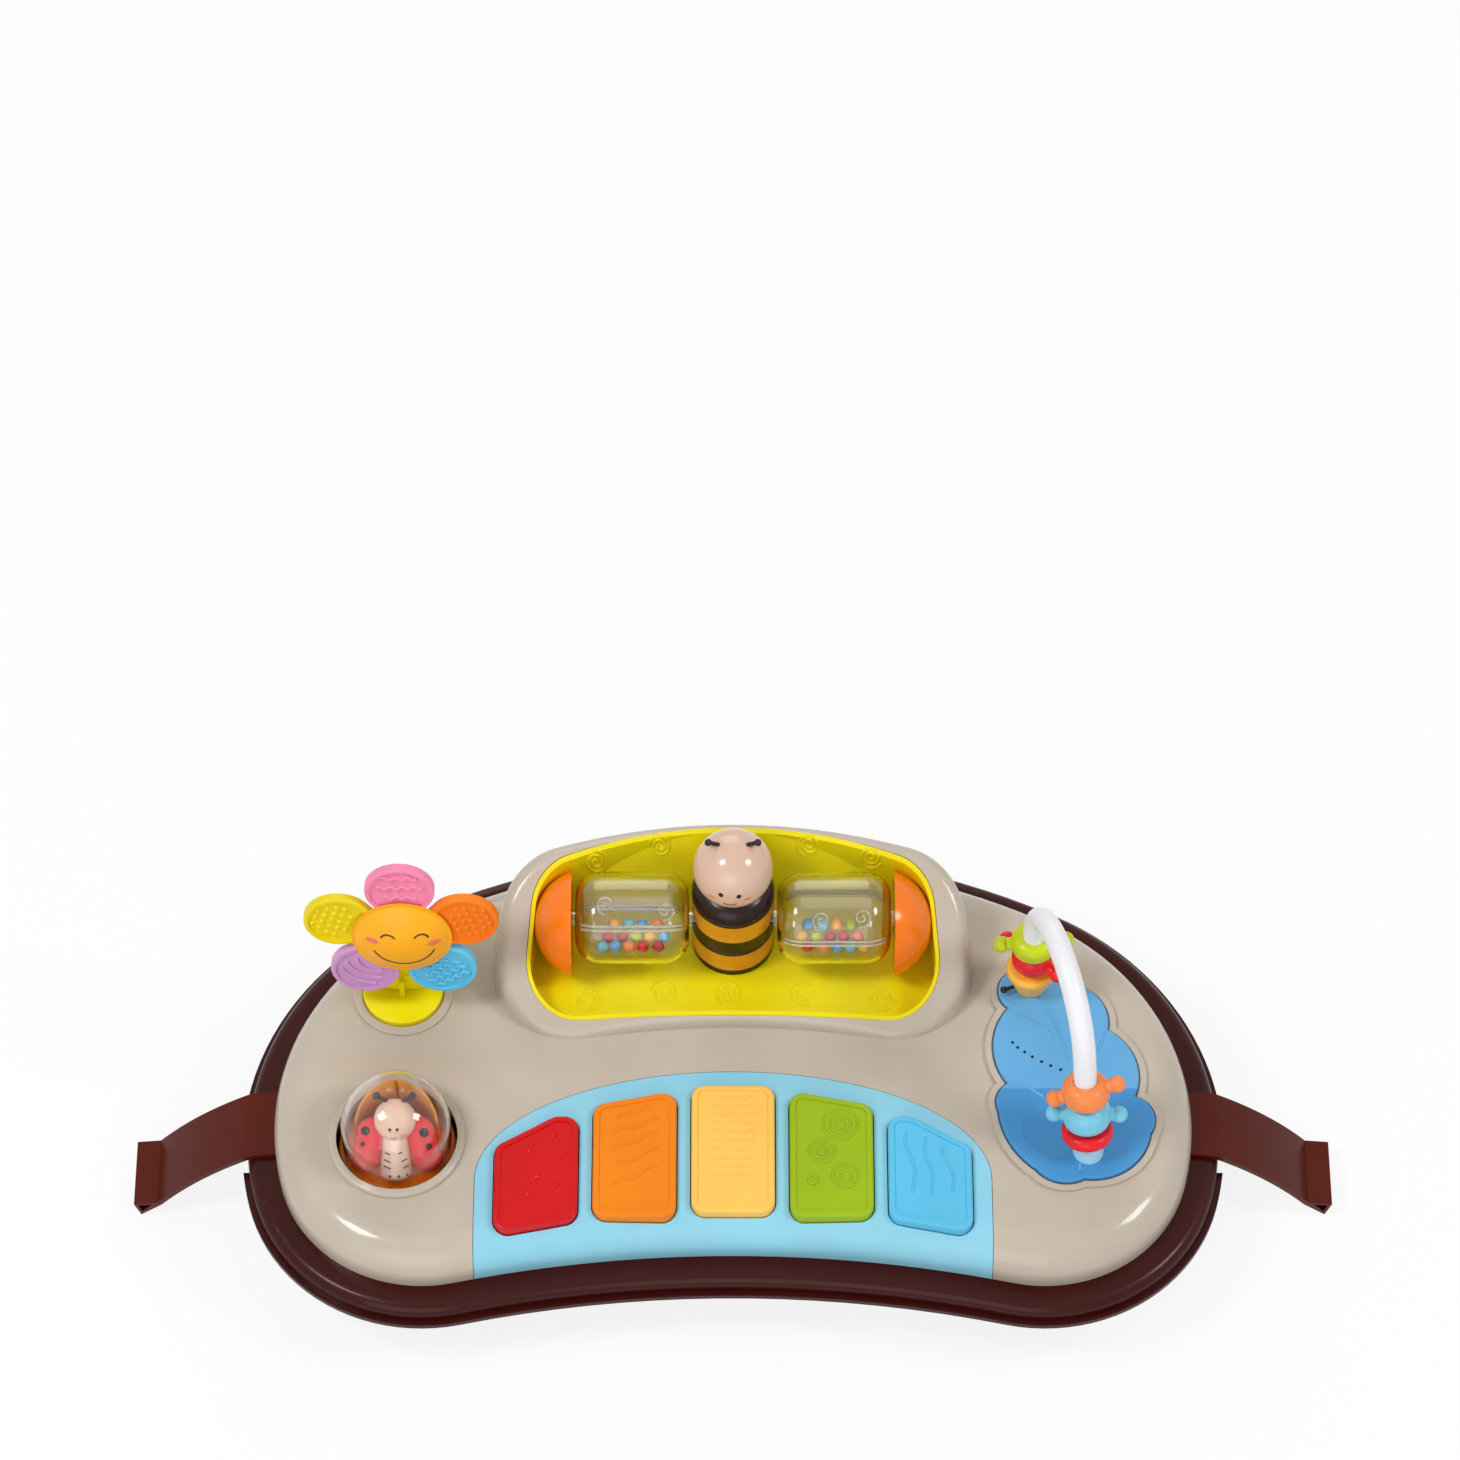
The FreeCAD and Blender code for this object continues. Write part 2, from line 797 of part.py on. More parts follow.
def key_corners(place):
    """A key's outline from above as sums of sheet sizes, in turn."""
    half = "key_width / 2"
    if place == 0:
        return [("-" + half, "middle_key_front"), (half, "middle_key_front"),
                (half, "middle_key_back"), ("-" + half, "middle_key_back")]
    sign = 1 if place > 0 else -1
    middle = "key_pitch * %d" % place
    if abs(place) == 1:
        near = "%s - %d * key_width / 2" % (middle, sign)
        far = "%s + %d * key_width / 2" % (middle, sign)
        spots = [(near, "inner_key_front"), (far, "inner_key_front"), (far, "inner_key_side"),
                 (near, "inner_key_back")]
    else:
        near = "%s - %d * key_width / 2" % (middle, sign)
        far = "%s + %d * key_width / 2" % (middle, sign)
        bend = "%s - %d * (key_width / 2 - outer_key_cut)" % (middle, sign)
        spots = [(near, "outer_key_front"), (far, "outer_key_corner"), (far, "outer_key_side"),
                 (bend, "outer_key_back"), (near, "outer_key_back")]
    return spots if sign > 0 else spots[::-1]


def key_wire(place):
    spots = []
    for across, along in key_corners(place):
        x = float(sheet.evalExpression(formula(across)))
        y = float(sheet.evalExpression(formula(along)))
        spots.append((x, y, 0))
    return wire_through(spots)


def key_hole(place):
    """The opening in the panel: the key's outline, grown by its gap."""
    block = prism(key_wire(place), RIM_TOP + S.overrun, SHELL_TOP + S.key_thickness)
    upright = [edge for edge in block.Edges if edge.BoundBox.ZLength > S.overrun]
    block = block.makeFillet(S.key_corner, upright)
    wire = [face for face in block.Faces if face.BoundBox.ZMax < RIM_TOP + S.overrun * 2][0].OuterWire
    wide = wire.makeOffset2D(S.key_gap)
    face = Part.Face(wide)
    return face.extrude(Vector(0, 0, S.shell_height + S.key_thickness))


def key_middle(place):
    box_of = key_wire(place).BoundBox
    return (box_of.XMin + box_of.XMax) / 2, (box_of.YMin + box_of.YMax) / 2


def board_posts():
    """Posts under the panel, between the keys, that carry the circuit board."""
    return [(S.key_pitch * (i + 0.5), S.post_place) for i in (-2, -1, 0, 1)]


def capsule_floor_low():
    return SHELL_TOP - S.wall - S.floor_thick - S.capsule_ring_rise


def make_top_shell():
    outer = shell_form(0).fuse(console_form(0))
    inner = shell_form(S.wall).fuse(console_form(S.console_wall))
    shape = outer.cut(inner)
    shape = shape.cut(prism(panel_outline(S.panel_gap), RIM_TOP - S.overrun, SHELL_TOP + S.overrun))
    cove_high = SHELL_TOP + S.tray_depth / 2
    shape = shape.cut(prism(cove_outline(0, 0), SHELL_TOP - S.wall - S.overrun, cove_high))
    ring_top = SHELL_TOP + S.capsule_ring_rise
    spot = (S.capsule_place, S.capsule_back)
    ring = post(*spot, S.capsule_hole + S.capsule_ring, SHELL_TOP - S.wall / 2, ring_top)
    ring = ring.makeFillet(S.capsule_ring / 2, level_edges(ring, ring_top))
    shape = shape.fuse(ring).cut(post(*spot, S.capsule_hole, RIM_TOP, ring_top + S.overrun))
    spot = (S.stalk_place, S.stalk_back)
    ring_top = SHELL_TOP + S.stalk_ring_rise
    ring = post(*spot, S.stalk_disc_radius + S.stalk_ring, SHELL_TOP - S.wall / 2, ring_top)
    ring = ring.makeFillet(S.stalk_ring_rise / 2, level_edges(ring, ring_top))
    shape = shape.fuse(ring).cut(post(*spot, S.stalk_disc_radius + S.seat_gap * 2, SHELL_TOP, ring_top + S.overrun))
    shape = shape.fuse(post(*spot, S.stalk_pin_radius + S.wall, SHELL_TOP - S.wall - S.boss_length, SHELL_TOP))
    bore = S.stalk_pin_radius + S.running_gap
    shape = shape.cut(post(*spot, bore, SHELL_TOP - S.wall * 2 - S.boss_length, SHELL_TOP + S.overrun))
    ring_wire = leaf_wire()
    wide = prism(ring_wire.makeOffset2D(S.leaf_ring_gap + S.leaf_ring), SHELL_TOP - S.wall, SHELL_TOP + S.leaf_ring_rise)
    narrow = prism(ring_wire.makeOffset2D(S.leaf_ring_gap), SHELL_TOP, SHELL_TOP + S.leaf_plate_thick)
    outside = box(-S.half_width, S.half_width, -S.tray_depth, S.tray_depth, RIM_TOP, SHELL_TOP * 2)
    wide = wide.common(outside)
    shape = shape.fuse(wide.cut(narrow)).cut(narrow)
    shape = shape.cut(post(S.lobe_place + S.lobe_rim * 2, 0, S.speaker_radius / 2, RIM_TOP, SHELL_TOP + S.overrun))
    shape = shape.cut(rod_root())
    for x, y in screw_places():
        low = RIM_TOP - S.wall
        boss = post(x, y, S.screw_post_radius, low, SHELL_TOP - S.wall / 2)
        shape = shape.fuse(boss.common(outer_limit()))
        shape = shape.cut(post(x, y, S.case_screw_radius, low - S.overrun, S.screw_seat + S.case_screw_length))
    front, back = arm_band(S.arm_slot_gap + S.arm_forward / 2)
    for side in (-1, 1):
        near = side * (S.half_width - S.shell_inset - S.wall * 2)
        far = side * (S.half_width)
        shape = shape.cut(box(min(near, far), max(near, far), front, back,
                              RIM_TOP - S.overrun, RIM_TOP + S.arm_thick + S.arm_slot_gap))
    finish(feature("top_shell", one_solid(shape)), "top_shell")


def outer_limit():
    """The shell's outer form, carried down past the rim, to trim bosses."""
    low = prism(tray_outline(S.shell_inset + S.wall), 0, RIM_TOP + S.overrun)
    return low.fuse(shell_form(0))


def make_keyboard_panel():
    shape = shell_form(0).cut(shell_form(S.wall)).common(prism(panel_outline(0), 0, SHELL_TOP * 2))
    for label, place in key_spots():
        shape = shape.cut(key_hole(place))
    for x, y in board_posts():
        shape = shape.fuse(post(x, y, S.post_radius, BOARD_TOP, SHELL_TOP - S.wall / 2))
    finish(feature("keyboard_panel", one_solid(shape)), "keyboard_panel")


def cove_forms():
    """Outer and inner form of the cove: flat floor, upright sides, back wall that leans away."""
    lean = math.tan(math.radians(S.cove_lean))
    deep = S.tray_depth
    forms = []
    for draw_in in (S.seat_gap, S.seat_gap + S.cove_wall):
        floor = COVE_FLOOR - S.wall if not forms else COVE_FLOOR
        high = SHELL_TOP + deep
        top_y = S.cove_back_middle - draw_in
        top_z = console_plane(S.cove_back_middle) - S.cove_sunk
        back_low = top_y - (top_z - floor) * lean
        back_high = top_y + (high - top_z) * lean
        block = side_prism([(-deep, floor), (back_low, floor), (back_high, high), (-deep, high)], S.half_width)
        if forms:
            corner = [edge for edge in block.Edges
                      if edge.BoundBox.XLength > S.half_width and abs(edge.BoundBox.ZMax - floor) < 1e-3
                      and edge.BoundBox.YMin > 0]
            block = block.makeFillet(S.cove_foot_round, corner)
        forms.append(prism(cove_outline(draw_in, 0), RIM_TOP, high).common(block))
    return forms


def make_cove_panel():
    forms = cove_forms()
    deep = S.tray_depth
    shape = forms[0].cut(forms[1]).cut(above_console(S.cove_sunk))
    under = S.console_wall / math.cos(math.radians(S.console_slope))
    flange = prism(cove_outline(-S.cove_flange, 0), SHELL_TOP, SHELL_TOP + deep)
    flange = flange.common(above_console(under + S.cove_wall)).cut(above_console(under))
    flange = flange.common(console_form(S.console_wall + S.seat_gap))
    shape = shape.fuse(flange.cut(prism(cove_outline(S.seat_gap + S.cove_wall / 2, 0), SHELL_TOP, SHELL_TOP + deep)))
    shape = shape.cut(post(0, S.bee_back, S.bee_radius + S.seat_gap, COVE_FLOOR, SHELL_TOP + S.bee_height))
    finish(feature("cove_panel", one_solid(shape)), "cove_panel")


# Keys and what lies under them

def make_keys():
    for label, place in key_spots():
        body, pad = padded_body(label, key_corners(place), Placement(), "key_thickness",
                                "base_depth + rim_height + shell_height + key_proud - key_thickness")
        upright = edges_where(pad.Shape, lambda edge: edge.BoundBox.ZLength > S.key_thickness / 2)
        corners = body.newObject("PartDesign::Fillet", label + "_corners")
        corners.Base = (pad, upright)
        bind(corners, Radius="key_corner")
        doc.recompute()
        top = edges_where(corners.Shape, lambda edge: edge.BoundBox.ZMin > KEY_TOP - 1e-3)
        edge = body.newObject("PartDesign::Fillet", label + "_edge")
        edge.Base = (corners, top)
        bind(edge, Radius="key_edge")
        doc.recompute()
        body.Tip = edge
        shape = edge.Shape.copy()
        sunk = [face for face in corners.Shape.Faces if face.BoundBox.ZMin > KEY_TOP - 1e-3][0]
        field = Part.Face(sunk.OuterWire.makeOffset2D(-S.key_border))
        shape = shape.cut(field.extrude(Vector(0, 0, -S.key_sunk)))
        inside = Part.Face(sunk.OuterWire.makeOffset2D(-S.cove_wall))
        inside.translate(Vector(0, 0, -S.wall - S.key_sunk))
        shape = shape.cut(inside.extrude(Vector(0, 0, -S.key_thickness)))
        x, y = key_middle(place)
        plunger_low = BOARD_TOP + S.dome_height + S.dome_gap
        shape = shape.fuse(post(x, y, S.key_plunger_radius, plunger_low, KEY_TOP - S.wall))
        finish(feature(label + "_cap", one_solid(shape)), label)
        dome = doc.addObject("Part::Cone", label + "_dome")
        bind(dome, Radius1="dome_radius", Radius2="dome_top_radius", Height="dome_height")
        dome.Placement = Placement(Vector(x, y, BOARD_TOP), Rotation())
        finish(dome, label + "_dome")


def make_circuit_board():
    corners = [("-board_half", "board_front"), ("board_half", "board_front"),
               ("board_half", "board_back"), ("-board_half", "board_back")]
    body, pad = padded_body("circuit_board", corners, Placement(), "board_thick",
                            "base_depth + rim_height + shell_height - wall - board_drop - board_thick")
    finish(body, "circuit_board")


def make_speaker():
    spot = Vector(S.lobe_place + S.lobe_rim * 2, 0, SHELL_TOP - S.wall - S.speaker_depth)
    place = Placement(spot, Rotation())
    corners = [("0", "0"), ("speaker_radius * 0.45", "0"), ("speaker_radius * 0.45", "speaker_depth * 0.4"),
               ("speaker_radius", "speaker_depth * 0.8"), ("speaker_radius", "speaker_depth"),
               ("0", "speaker_depth")]
    finish(turned_body("speaker", corners, place), "speaker")


# Drums, brackets and bee

def drum_level():
    return COVE_FLOOR + S.drum_up


def make_drum(side, name, seam):
    """Two clear half shells, split along the axle, and the beads inside."""
    middle = Vector(side * S.drum_place, S.drum_back, drum_level())
    place = Placement(middle, Rotation(Vector(0, 1, 0), 90))
    half = "drum_length / 2"
    stub = "drum_length / 2 + drum_stub"
    corners = [
        ("0", "-(%s)" % stub), ("drum_stub_radius", "-(%s)" % stub), ("drum_stub_radius", "-(%s)" % half),
        ("drum_radius", "-(%s)" % half), ("drum_radius", half), ("drum_stub_radius", half),
        ("drum_stub_radius", stub), ("0", stub),
    ]
    rounds = [("drum_radius", half, "drum_round"), ("drum_radius", "-(%s)" % half, "drum_round")]
    outer = turned_body(name + "_drum_form", corners, place, rounds)
    inner = "drum_length / 2 - drum_wall"
    bore = "drum_radius - drum_wall"
    corners = [("0", "-(%s)" % inner), (bore, "-(%s)" % inner), (bore, inner), ("0", inner)]
    rounds = [(bore, inner, "drum_round - drum_wall"), (bore, "-(%s)" % inner, "drum_round - drum_wall")]
    hollow = turned_body(name + "_drum_hollow", corners, place, rounds)
    blank = doc.addObject("Part::Cut", name + "_drum_blank")
    blank.Base = outer
    blank.Tool = hollow
    reach = S.drum_length
    turn = Rotation(Vector(1, 0, 0), -seam)
    for part, low in (("upper_half", 0), ("lower_half", -1)):
        block = doc.addObject("Part::Box", "%s_drum_%s_space" % (name, part))
        bind(block, Length="drum_length * 2", Width="drum_length * 2", Height="drum_length")
        corner = Vector(-reach, -reach, low * reach)
        block.Placement = Placement(middle + turn.multVec(corner), turn)
        half_shell = doc.addObject("Part::Common", "%s_drum_%s" % (name, part))
        half_shell.Base = blank
        half_shell.Tool = block
        finish(half_shell, "%s_drum_%s" % (name, part))
    make_rattles(middle, name)


def make_rattles(middle, name):
    """Loose beads that lie in three rows along the bottom of the drum."""
    orbit = S.drum_radius - S.drum_wall - S.rattle_radius - S.seat_gap
    solids = []
    for row, count in ((-1, 5), (0, 5), (1, 4)):
        swing = math.radians(-90) + row * S.rattle_step / orbit
        for i in range(count):
            x = middle.x + (i - (count - 1) / 2) * S.rattle_step
            y = middle.y + orbit * math.cos(swing)
            z = middle.z + orbit * math.sin(swing)
            solids.append(ball((x, y, z), S.rattle_radius))
    finish(feature(name + "_drum_beads", Part.makeCompound(solids)), name + "_drum_beads")


def make_moon(side, name):
    """A hollow half dome that stands on the cove's floor and holds the axle stub."""
    def cap(radius, height):
        whole = (radius ** 2 + height ** 2) / (2 * height)
        centre = Vector(side * (S.moon_place + height - whole), S.drum_back, COVE_FLOOR + S.moon_up)
        sphere = Part.makeSphere(whole, centre)
        near = side * S.moon_place
        far = side * (S.moon_place + radius * 2)
        room = box(min(near, far), max(near, far), S.drum_back - radius * 2, S.drum_back + radius * 2,
                   COVE_FLOOR, COVE_FLOOR + radius * 3)
        return sphere.common(room)
    outer = cap(S.moon_radius, S.moon_height)
    inner = cap(S.moon_radius - S.moon_wall, S.moon_height - S.moon_wall)
    inner.translate(Vector(side * S.moon_wall / 2, 0, -S.moon_wall / 2))
    shape = outer.cut(inner)
    stub_end = S.drum_place + S.drum_length / 2 + S.drum_stub
    socket = Part.makeCylinder(S.drum_stub_radius + S.wall, stub_end + S.wall - S.moon_place,
                               Vector(side * S.moon_place, S.drum_back, drum_level()), Vector(side, 0, 0))
    bore = Part.makeCylinder(S.drum_stub_radius + S.running_gap, stub_end + S.seat_gap - S.moon_place + S.overrun,
                             Vector(side * (S.moon_place - S.overrun), S.drum_back, drum_level()),
                             Vector(side, 0, 0))
    shape = shape.fuse(socket).cut(bore).common(cove_forms()[1])
    finish(feature(name + "_moon_bracket", one_solid(shape)), name + "_moon_bracket")


def make_bee():
    place = Placement(Vector(0, S.bee_back, COVE_FLOOR), Rotation())
    neck = "bee_neck_radius + running_gap"
    corners = [("bee_hollow", "0"), ("bee_radius", "0")]
    for i in (1, 2, 3, 4):
        groove = "bee_band * %d - bee_band / 2" % i
        corners.append(("bee_radius", groove + " - bee_groove"))
        corners.append(("bee_radius - bee_groove", groove))
        corners.append(("bee_radius", groove + " + bee_groove"))
    corners += [("bee_radius", "bee_height"), (neck, "bee_height"),
                (neck, "bee_neck_low"), ("0", "bee_neck_low"),
                ("0", "bee_neck_low - wall"), ("bee_hollow", "bee_neck_low - wall")]
    rounds = [("bee_radius", "bee_height", "bee_shoulder")]
    body = turned_body("bee_column", corners, place, rounds)
    centre = Vector(0, S.bee_back, COVE_FLOOR + S.bee_head_up)
    shape = body.Shape.cut(Part.makeSphere(S.bee_head_radius + S.seat_gap, centre))
    for side in (-1, 1):
        inner_end = S.drum_place - S.drum_length / 2 - S.drum_stub - S.seat_gap
        socket = Part.makeCylinder(S.drum_stub_radius + S.running_gap, S.bee_radius,
                                   Vector(side * inner_end, S.drum_back, drum_level()), Vector(side, 0, 0))
        shape = shape.cut(socket)
    finish(feature("bee_body", one_solid(shape)), "bee_body")
    head = Part.makeSphere(S.bee_head_radius, centre)
    neck_low = COVE_FLOOR + S.bee_neck_low + S.seat_gap
    head = head.cut(Part.makeSphere(S.bee_head_radius - S.cove_wall, centre))
    head = head.fuse(tube(0, S.bee_back, S.bee_neck_radius, S.bee_neck_radius / 2, neck_low,
                          centre.z - S.bee_head_radius + S.cove_wall))
    head = head.cut(post(0, S.bee_back, S.bee_neck_radius / 2, neck_low, centre.z))
    finish(feature("bee_head", one_solid(head)), "bee_head")
    pairs = [antenna(centre, S.bee_head_radius, side, S.antenna_radius, S.antenna_knob, S.antenna_length)
             for side in (-1, 1)]
    finish(feature("bee_antennae", Part.makeCompound(pairs)), "bee_antennae")


def match_form(thin, knob, length):
    """A thin stalk that ends in a ball, turned about its own axis."""
    neck = length - math.sqrt(knob ** 2 - thin ** 2)
    tip = Vector(0, 0, length + knob)
    edges = [
        Part.LineSegment(Vector(), Vector(thin, 0, 0)).toShape(),
        Part.LineSegment(Vector(thin, 0, 0), Vector(thin, 0, neck)).toShape(),
        Part.Arc(Vector(thin, 0, neck), Vector(knob, 0, length), tip).toShape(),
        Part.LineSegment(tip, Vector()).toShape(),
    ]
    return Part.Face(Part.Wire(edges)).revolve(Vector(), Vector(0, 0, 1), 360)


def aimed(shape, start, way):
    """The same solid with its upright axis turned along way, from start."""
    place = Placement(start, Rotation(Vector(0, 0, 1), way))
    return shape.transformed(place.toMatrix(), True)


def antenna(centre, radius, side, thin, knob, length):
    """A short stalk with a round end, standing out from the top of a head."""
    root_way = Vector(side * 0.36, 0.1, 0.93)
    root_way.normalize()
    out_way = Vector(side * 0.86, -0.1, 0.5)
    out_way.normalize()
    root = centre + root_way * radius
    shape = aimed(match_form(thin, knob, length), root, out_way)
    return one_solid(shape.cut(Part.makeSphere(radius, centre)))


# Flower

def flower_place():
    """The flower's own frame: its upright axis points out of the face."""
    middle = Vector(S.flower_place, S.flower_back, SHELL_TOP + S.flower_up)
    return Placement(middle, Rotation(Vector(1, 0, 0), 90 - S.flower_tilt))


def petal_face(draw_in):
    """A drop shape along the frame's Y: round at the tip, narrow at the hub."""
    radius = S.petal_half - draw_in
    centre = Vector(0, S.petal_reach - S.petal_half, 0)
    root = S.petal_root + draw_in * 2
    root_half = S.petal_root_half - draw_in
    away = math.hypot(centre.y - root, root_half)
    angle = math.atan2(root - centre.y, root_half) + math.acos(radius / away)
    tangent = Vector(radius * math.cos(angle), centre.y + radius * math.sin(angle), 0)
    left = Vector(-tangent.x, tangent.y, 0)
    edges = [
        Part.LineSegment(Vector(-root_half, root, 0), Vector(root_half, root, 0)).toShape(),
        Part.LineSegment(Vector(root_half, root, 0), tangent).toShape(),
        Part.Arc(tangent, Vector(0, centre.y + radius, 0), left).toShape(),
        Part.LineSegment(left, Vector(-root_half, root, 0)).toShape(),
    ]
    return Part.Face(Part.Wire(edges))


def make_flower():
    frame = flower_place()
    names = ["pink_petal", "green_petal", "purple_petal", "blue_petal", "orange_petal"]
    for i, label in enumerate(names):
        petal = petal_face(0).extrude(Vector(0, 0, S.petal_thick))
        rim = level_edges(petal, S.petal_thick)
        curved = [edge for edge in rim if edge.BoundBox.YMax > S.petal_reach - S.petal_half]
        petal = petal.makeFillet(S.petal_border / 2, curved)
        field = petal_face(S.petal_border)
        field.translate(Vector(0, 0, S.petal_thick - S.petal_sunk))
        petal = petal.cut(field.extrude(Vector(0, 0, S.petal_thick)))
        turn = Placement(Vector(), Rotation(Vector(0, 0, 1), 360 / len(names) * i))
        finish(feature(label, petal, frame.multiply(turn)), label)
    hub = Part.makeCylinder(S.hub_radius, S.hub_thick, Vector(0, 0, -S.hub_thick))
    low = -S.hub_thick - S.pin_length
    hub = hub.fuse(Part.makeCylinder(S.pin_radius, S.petal_thick - low, Vector(0, 0, low)))
    finish(feature("flower_hub", one_solid(hub), frame), "flower_hub")
    whole = (S.face_radius ** 2 + S.face_rise ** 2) / (2 * S.face_rise)
    dome = Part.makeSphere(whole, Vector(0, 0, S.petal_thick + S.face_rise - whole))
    room = Part.makeCylinder(S.face_radius, S.face_rise * 2, Vector(0, 0, S.petal_thick))
    face = dome.common(room)
    face = face.fuse(Part.makeCylinder(S.face_radius, S.petal_sunk, Vector(0, 0, S.petal_thick)))
    finish(feature("flower_face", one_solid(face), frame), "flower_face")


def make_stalk():
    """Base disc, ribbed post, double leaf and the sleeve for the flower's pin."""
    x = S.stalk_place
    y = S.stalk_back
    low = SHELL_TOP + S.seat_gap
    disc_top = low + S.stalk_disc_thick
    disc = post(x, y, S.stalk_disc_radius, low, disc_top)
    disc = disc.makeFillet(S.stalk_ring_rise / 2, level_edges(disc, disc_top))
    frame = flower_place()
    sleeve_top = -S.hub_thick - S.seat_gap
    sleeve_low = sleeve_top - S.pin_length - S.wall
    sleeve = Part.makeCylinder(S.pin_radius + S.wall, sleeve_top - sleeve_low, Vector(0, 0, sleeve_low))
    sleeve.Placement = frame
    post_y = y + S.stalk_post_back
    top_z = SHELL_TOP + S.flower_up
    column = Part.makeCone(S.stalk_post_radius + S.wall, S.stalk_post_radius, top_z - disc_top + S.overrun,
                           Vector(x, post_y, disc_top - S.overrun))
    rib = box(x - S.stalk_rib / 2, x + S.stalk_rib / 2, y - S.stalk_disc_radius / 4, post_y,
              disc_top - S.overrun, disc_top + S.leaf_low + S.leaf_thick)
    left = Vector(x - S.leaf_half, y + S.leaf_deep, 0)
    right = Vector(x + S.leaf_half, y + S.leaf_deep, 0)
    heart = Vector(x, y + S.leaf_deep + S.leaf_wall, 0)
    edges = [Part.Arc(left, Vector(x, y - S.leaf_front, 0), right).toShape()]
    for start, side, end in ((right, 1, heart), (heart, -1, left)):
        bulge = Vector(x + side * S.leaf_half / 2, y + S.leaf_deep + S.leaf_bulge, 0)
        edges.append(Part.Arc(start, bulge, end).toShape())
    leaf = Part.Face(Part.Wire(edges)).extrude(Vector(0, 0, S.leaf_thick))
    leaf.translate(Vector(0, 0, disc_top + S.leaf_low))
    shape = disc.fuse([column, rib, leaf, sleeve])
    bore = Part.makeCylinder(S.pin_radius + S.running_gap, S.pin_length + S.seat_gap * 2 + S.hub_thick,
                             Vector(0, 0, -S.hub_thick - S.pin_length - S.seat_gap))
    bore.Placement = frame
    hub_room = Part.makeCylinder(S.petal_reach + S.wall, S.hub_thick + S.face_rise * 3,
                                 Vector(0, 0, -S.hub_thick - S.seat_gap))
    hub_room.Placement = frame
    shape = shape.cut(bore).cut(hub_room)
    pin = post(x, y, S.stalk_pin_radius, SHELL_TOP - S.wall - S.boss_length, low + S.overrun)
    shape = shape.fuse(pin)
    finish(feature("flower_stalk", one_solid(shape)), "flower_stalk")


# Ladybug capsule

def make_capsule():
    x = S.capsule_place
    y = S.capsule_back
    floor_low = capsule_floor_low()
    floor_top = floor_low + S.floor_thick
    place = Placement(Vector(x, y, floor_low), Rotation())
    corners = [("0", "-capsule_pin"), ("capsule_pin_radius", "-capsule_pin"), ("capsule_pin_radius", "0"),
               ("floor_radius", "0"), ("floor_radius", "floor_thick"), ("0", "floor_thick")]
    finish(turned_body("capsule_floor", corners, place,
                       [("floor_radius", "floor_thick", "floor_thick / 3")]), "capsule_floor")
    straight_top = SHELL_TOP + S.capsule_straight
    outer = post(x, y, S.capsule_radius, floor_top, straight_top)
    outer = outer.fuse(ball((x, y, straight_top), S.capsule_radius))
    inner_radius = S.capsule_radius - S.capsule_wall
    inner = post(x, y, inner_radius, floor_top - S.overrun, straight_top)
    inner = inner.fuse(ball((x, y, straight_top), inner_radius))
    low_room = post(x, y, S.floor_radius * 2, floor_low - S.floor_radius * 2, floor_top)
    dome = outer.cut(inner).cut(low_room)
    finish(feature("capsule_dome", one_solid(dome)), "capsule_dome")
    make_ladybug(Vector(x, y, floor_top))


def pill(start, end, radius):
    """A round bar with half a ball at each end."""
    way = end - start
    bar = Part.makeCylinder(radius, way.Length, start, way)
    return bar.fuse([Part.makeSphere(radius, start), Part.makeSphere(radius, end)])


def make_ladybug(foot):
    """A figure that leans back on the floor: body, wings, head and antennae."""
    frame = Placement(foot + Vector(0, -S.bug_forward, 0), Rotation(Vector(1, 0, 0), -S.bug_lean))
    room = box(-S.half_width, S.half_width, -S.half_width, S.half_width, -S.half_width, 0)
    room.Placement = frame.inverse().multiply(Placement(foot, Rotation()))
    trunk = Part.makeCone(S.bug_body_radius, S.bug_body_top, S.bug_head_up, Vector(), Vector(0, 0, 1))
    trunk = trunk.makeFillet(S.bug_body_round, level_edges(trunk, 0))
    head_centre = Vector(0, 0, S.bug_head_up)
    head = Part.makeSphere(S.bug_head_radius, head_centre)
    body = trunk.cut(head).cut(room)
    finish(feature("ladybug_body", one_solid(body), frame), "ladybug_body")
    finish(feature("ladybug_head", head, frame), "ladybug_head")
    wings = []
    for side in (-1, 1):
        low = Vector(side * S.wing_low_place, S.wing_back, S.wing_low)
        high = Vector(side * S.wing_high_place, S.wing_back, S.wing_high)
        wing = pill(low, high, S.wing_radius)
        pieces = wing.cut(head).cut(trunk).cut(room).Solids
        wings.append(max(pieces, key=lambda solid: solid.Volume))
    finish(feature("ladybug_wings", Part.makeCompound(wings), frame), "ladybug_wings")
    pairs = [antenna(head_centre, S.bug_head_radius, side, S.antenna_radius, S.antenna_knob, S.antenna_length)
             for side in (-1, 1)]
    finish(feature("ladybug_antennae", Part.makeCompound(pairs), frame), "ladybug_antennae")


# Leaf plate, arch and beads

def rod_feet():
    turn = math.radians(S.arch_turn)
    front = (S.arch_front_place, S.arch_front_back)
    rear = (front[0] + S.arch_span * math.cos(turn), front[1] + S.arch_span * math.sin(turn))
    return [front, rear]


def arch_frame():
    """The arch's own upright plane: local X runs from the front foot to the rear one."""
    front = rod_feet()[0]
    return Placement(Vector(front[0], front[1], LEAF_TOP), Rotation(Vector(0, 0, 1), S.arch_turn))


def leg_way():
    """Unit direction of the front leg in the arch's own plane."""
    lean = math.radians(S.arch_lean)
    return Vector(math.sin(lean), 0, math.cos(lean))


